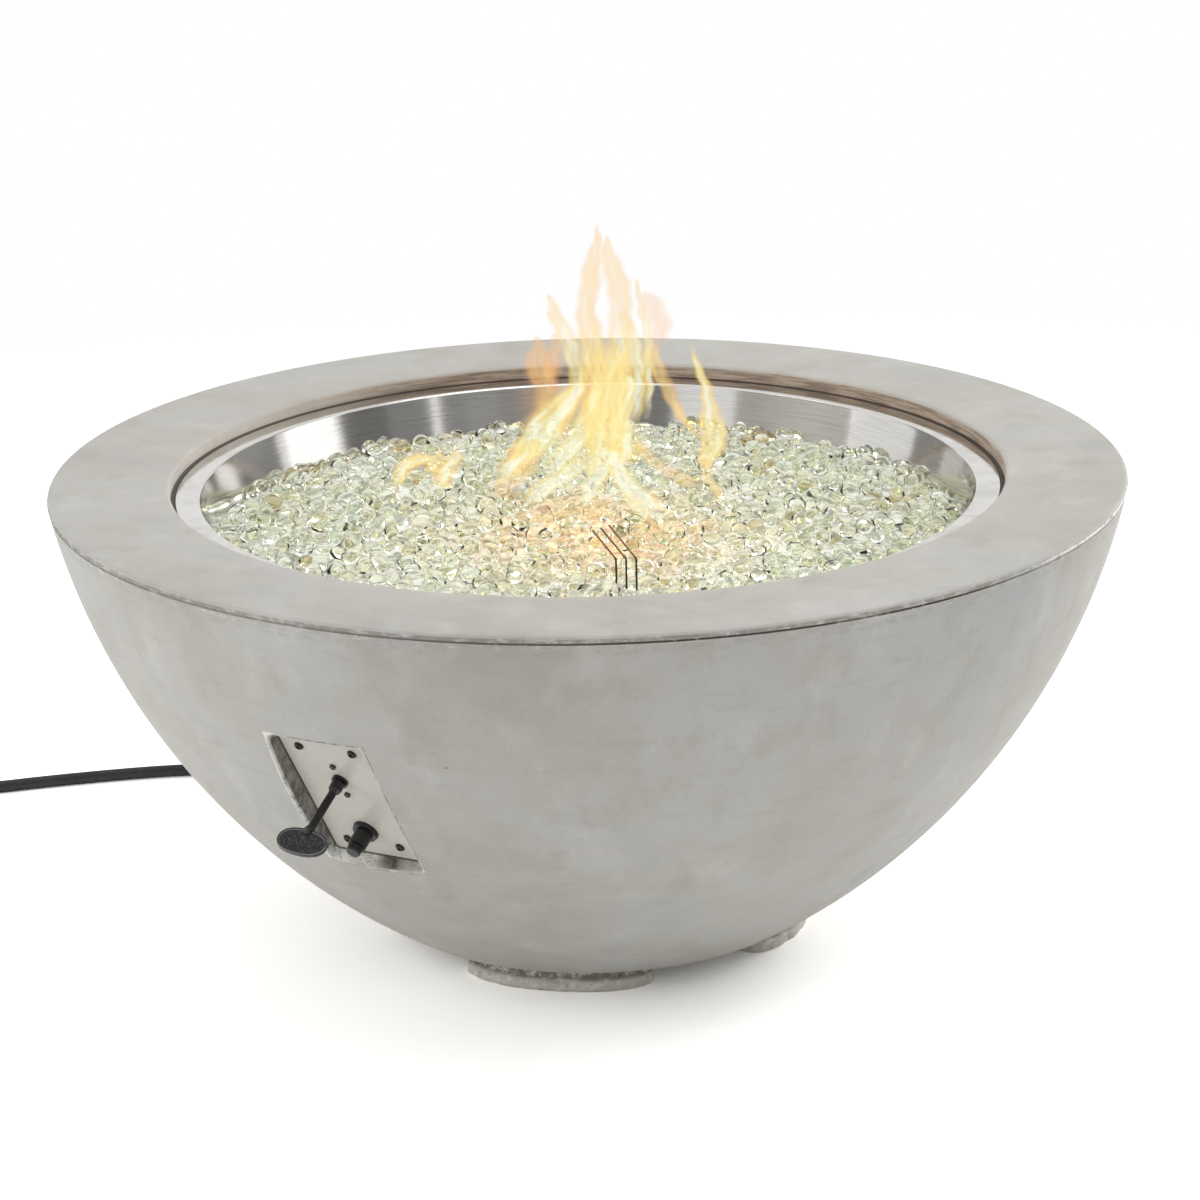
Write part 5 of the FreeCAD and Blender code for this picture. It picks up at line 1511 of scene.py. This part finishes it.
LOW_TONGUES = [
    (0.60, 0.85, [(-194, 2, 3), (-190, 15, 7), (-183, 26, 9), (-172, 31, 8), (-163, 33, 4)]),
    (0.70, 0.85, [(-150, 0, 5), (-146, 12, 11), (-140, 22, 11), (-135, 31, 8), (-131, 39, 2)]),
    (0.50, 0.75, [(-158, 16, 6), (-154, 28, 8), (-150, 37, 3)]),
]


def stroke(points, count=70):
    """Many points along a tongue, with their widths and how far along they are."""
    rows = np.array(points, float)
    gaps = np.hypot(*np.diff(rows[:, :2], axis=0).T)
    place = np.concatenate([[0], np.cumsum(gaps)])
    place /= place[-1]
    share = np.linspace(0, 1, count)
    for _ in range(2):
        sampled = np.stack([np.interp(share, place, column) for column in rows.T], 1)
        soft = sampled.copy()
        soft[2:-2] = (sampled[:-4] + sampled[1:-3] + sampled[2:-2] + sampled[3:-1] + sampled[4:]) / 5
        rows, place = soft, share
    return rows, share


def heat_and_thickness(points, tongues):
    """For each point: how thick the flame is there, and how hot."""
    clear = np.ones(len(points))
    weight, heat = np.full(len(points), 1e-6), np.zeros(len(points))
    for hot, dense, rows in tongues:
        spine, share = stroke(rows)
        away = np.hypot(points[:, None, 0] - spine[None, :, 0], points[:, None, 1] - spine[None, :, 1])
        near = away / np.maximum(spine[None, :, 2] * 1.2 + 0.8, 0.6)
        best = near.argmin(1)
        inner = np.clip(1 - near[np.arange(len(points)), best], 0, 1)
        ends = np.clip(share[best] / 0.15, 0.25, 1)
        way = np.gradient(spine[:, :2], axis=0)
        way /= np.hypot(way[:, 0], way[:, 1])[:, None] + 1e-9
        off = points - spine[best, :2]
        side = off[:, 0] * way[best, 1] - off[:, 1] * way[best, 0]
        along = np.hypot(*np.diff(spine[:, :2], axis=0).T).sum() * share[best]
        bend = 1.6 * np.sin(along * 0.055 + hot * 9) + 0.8 * np.sin(along * 0.13 + dense * 20)
        streak = 0.5 + 0.30 * np.sin(side * 0.40 + bend) + 0.20 * np.sin(side * 0.85 - bend * 1.7 + 2)
        thick = dense * ends * soft(inner, 0.0, 0.58) * (0.70 + 0.30 * streak)
        clear *= 1 - thick
        weight += thick
        heat += thick * hot * (0.25 + 1.0 * inner + 0.6 * (streak - 0.5))
    return 1 - clear, heat / weight


print("tongues:", len(TONGUES) + len(LOW_TONGUES))

# %% Flame sheets
def fire():
    finish = Finish("fire")
    lick = cloud(finish, 0.035, 4, stretch=(1, 1, 0.35), rough=0.6, warp=0.8)
    heat = attribute(finish, "hotness") + 0.6 * (lick - 0.5)
    colour = finish.node(
        "ValToRGB",
        {
            "stops": [
                (0.02, tone(246, 178, 122)),
                (0.20, tone(252, 202, 132)),
                (0.40, tone(255, 222, 140)),
                (0.62, tone(255, 238, 164)),
                (0.90, tone(255, 252, 222)),
            ]
        },
        {"Fac": heat},
    )
    height = apart(finish, place_in(finish))[2]
    colour = blend(finish, colour, tone(240, 204, 160), step(finish, height, 585 * MM, 640 * MM, 0, 0.65))
    glow = finish.node("Emission", None, {"Color": colour, "Strength": 1.04})
    none = finish.node("BsdfTransparent")
    veil = cloud(finish, 0.018, 4, stretch=(1, 1, 0.22), rough=0.65, warp=0.6)
    thick = attribute(finish, "thick") * step(finish, veil, 0.34, 0.54, 0.72, 1.0)
    return finish.end(finish.node("MixShader", None, {0: thick, 1: none, 2: glow}))


fire_finish = fire()


def flame_sheet(name, tongues, place, hole=None):
    """A grid of points; place turns across and up into a point in the world."""
    every = np.concatenate([np.array(rows) for _, _, rows in tongues])
    low = every[:, :2].min(0) - 18
    high = every[:, :2].max(0) + 8
    columns, rows = (int(n) for n in (high - low) / 1.6)
    across, up = np.meshgrid(np.linspace(low[0], high[0], columns), np.linspace(low[1], high[1], rows))
    flat = np.stack([across.ravel(), up.ravel()], 1)
    sway = np.stack([np.sin(flat[:, 1] * 0.13) + np.sin(flat[:, 1] * 0.31 + 1), np.zeros(len(flat))], 1)
    thick, heat = heat_and_thickness(flat + sway * 0.9, tongues)
    thick *= 1 - 0.12 * soft(flat[:, 1], 150, 215)
    if hole is not None:
        thick *= soft(np.hypot(flat[:, 0] - hole[0], (flat[:, 1] - hole[1]) * 0.8), 5, 9)
    faces = skin_faces(rows, columns)
    faces = [f for f in faces if max(f[0] % columns, f[1] % columns) - min(f[0] % columns, f[1] % columns) == 1]
    data = bpy.data.meshes.new(name)
    data.from_pydata([place(x * MM, h * MM) for x, h in flat], [], faces)
    sheet = bpy.data.objects.new(name, data)
    bpy.context.scene.collection.objects.link(sheet)
    paint(sheet, "thick", thick)
    paint(sheet, "hotness", heat)
    high_up = flat[:, 1] > 240
    print(name, len(flat), "points, thickest above 240 mm", thick[high_up].max() if high_up.any() else 0)
    data.materials.append(fire_finish)
    sheet.visible_shadow = False
    return sheet


def front_place(across, up):
    lean = FLAME_FRONT + (FLAME_BACK - FLAME_FRONT) * up / FLAME_TALL
    return (across, lean, FLAME_LEVEL + up)


def side_place(across, up):
    return (FLAME_FOOT[0], FLAME_FOOT[1] + (across - FLAME_FOOT[0]) * 0.85, FLAME_LEVEL + up)


flame_sheet("flame_front", TONGUES, front_place, hole=(18, 210))
flame_sheet("flame_side", TONGUES, side_place)
flame_sheet("flame_low", LOW_TONGUES, lambda across, up: (across, 75 * MM, FLAME_LEVEL + up))
print("flame sheets: 3")

# %% [markdown]
# ## The studio
#
# The fire pit stands on white, in soft light from both sides. A white floor lit
# to white would throw too much light back under the bowl, so what the camera
# and the mirrors see of it is made whiter than what it gives back. The floor
# still takes the bowl's shadow.

# %% World and floor
def white_world(level):
    world = bpy.data.worlds.new("studio")
    bpy.context.scene.world = world
    world.use_nodes = True
    tree = world.node_tree
    tree.nodes.clear()
    path = tree.nodes.new("ShaderNodeLightPath")
    seen = tree.nodes.new("ShaderNodeMath")
    seen.operation = "MAXIMUM"
    tree.links.new(path.outputs["Is Camera Ray"], seen.inputs[0])
    tree.links.new(path.outputs["Is Glossy Ray"], seen.inputs[1])
    clear = tree.nodes.new("ShaderNodeMath")
    clear.operation = "MAXIMUM"
    tree.links.new(seen.outputs[0], clear.inputs[0])
    tree.links.new(path.outputs["Is Transmission Ray"], clear.inputs[1])
    strength = tree.nodes.new("ShaderNodeMapRange")
    tree.links.new(clear.outputs[0], strength.inputs["Value"])
    strength.inputs["To Min"].default_value = level
    background = tree.nodes.new("ShaderNodeBackground")
    tree.links.new(strength.outputs[0], background.inputs["Strength"])
    background.inputs["Color"].default_value = (1, 1, 1, 1)
    output = tree.nodes.new("ShaderNodeOutputWorld")
    tree.links.new(background.outputs[0], output.inputs["Surface"])


FLOOR_SIZE = 7.0
FLOOR_SEEN, FLOOR_GIVES = 1.82, 1.0


def white_floor():
    finish = Finish("white_floor")
    path = finish.node("LightPath", output=0)
    glossy = finish.node("LightPath", output=3)
    seen = finish.node("Math", {"operation": "MAXIMUM"}, {0: path, 1: glossy})
    near = (FLOOR_GIVES, FLOOR_GIVES, FLOOR_GIVES, 1)
    far = (FLOOR_SEEN, FLOOR_SEEN, FLOOR_SEEN, 1)
    colour = blend(finish, near, far, seen)
    x, y, _ = apart(finish, place_in(finish))
    beyond = step(finish, length(finish, x, y), 1.3, 2.6) * seen
    white = finish.node("BsdfDiffuse", None, {"Color": colour})
    nothing = finish.node("BsdfTransparent")
    material = finish.end(finish.node("MixShader", None, {0: beyond, 1: white, 2: nothing}))
    points = [(x * FLOOR_SIZE, y * FLOOR_SIZE, 0) for x, y in ((-1, -1), (1, -1), (1, 1), (-1, 1))]
    floor = add_piece("floor", points, [(0, 1, 2, 3)])
    floor.data.materials.append(material)
    return floor


white_world(0.49)
floor = white_floor()
bpy.context.scene.view_settings.view_transform = "Standard"


def soft_box(name, place, aim, width, height, watts, colour=(1, 1, 1)):
    data = bpy.data.lights.new(name, "AREA")
    data.shape = "RECTANGLE"
    data.size, data.size_y = width, height
    data.energy, data.color = watts, colour
    lamp = bpy.data.objects.new(name, data)
    bpy.context.scene.collection.objects.link(lamp)
    lamp.location = place
    lamp.rotation_mode = "QUATERNION"
    lamp.rotation_quaternion = (Vector(aim) - Vector(place)).to_track_quat("-Z", "Y")
    return lamp


soft_box("left_light", (-3.0, -0.5, 1.3), (0, 0, 0.3), 1.6, 2.0, 30)
soft_box("right_light", (2.8, 2.3, 1.2), (0, 0, 0.3), 1.6, 2.0, 78)
soft_box("top_light", (0.8, -0.6, 3.4), (0, 0, 0.4), 2.6, 2.6, 29)


def fire_light():
    data = bpy.data.lights.new("fire_light", "POINT")
    data.energy, data.color, data.shadow_soft_size = 0.9, (1.0, 0.66, 0.40), 0.07
    lamp = bpy.data.objects.new("fire_light", data)
    bpy.context.scene.collection.objects.link(lamp)
    lamp.location = (FLAME_FOOT[0], FLAME_FOOT[1], 0.53)
    lamp.visible_glossy = False
    return lamp


fire_light()
print("lamps: 4")

# %% [markdown]
# A mirror shows what stands round it. In a white room the pan's wall would be
# one even grey, so dark and beige screens stand round the fire pit, as they do
# in a photo studio. Only mirrors see them: they give no light and no shadow.

# %% Screens for the mirrors
SCREENS = [
    (10, 30, 0.32, (1, 1, 1)),
    (30, 42, 0.38, (1, 1, 1)),
    (42, 51, 0.32, (1, 1, 1)),
    (51.3, 53.6, 1.5, (1, 1, 1)),
    (54, 70, 0.30, (1, 1, 1)),
    (70, 88, 0.20, (1, 1, 1)),
    (90, 112, 1.7, (1, 1, 1)),
    (116, 150, 0.20, (1, 1, 1)),
    (-30, -14, 0.24, (1, 1, 1)),
    (-96, -52, 0.50, (1.0, 0.97, 0.90)),
    (-150, -125, 0.32, (1, 1, 1)),
]
SCREEN_AWAY, SCREEN_TOP = 2.6, 1.9


def screen(index, start, end, level, colour):
    finish = Finish(f"screen_{index}")
    tint = (*(level * c for c in colour), 1)
    material = finish.end(finish.node("Emission", None, {"Color": tint, "Strength": 1.0}))
    turns = np.radians(np.linspace(start, end, 9))
    base = [(SCREEN_AWAY * math.sin(t), -SCREEN_AWAY * math.cos(t)) for t in turns]
    points = [(x, y, 0.02) for x, y in base] + [(x, y, SCREEN_TOP) for x, y in base]
    faces = [(k, k + 1, k + 10, k + 9) for k in range(8)]
    piece = add_piece(f"screen_{index}", points, faces)
    piece.data.materials.append(material)
    piece.visible_camera = False
    piece.visible_diffuse = False
    piece.visible_transmission = False
    piece.visible_shadow = False


for index, row in enumerate(SCREENS):
    screen(index, *row)
print("screens:", len(SCREENS))

# %% [markdown]
# ## The end
#

# %% Finish
print("done")
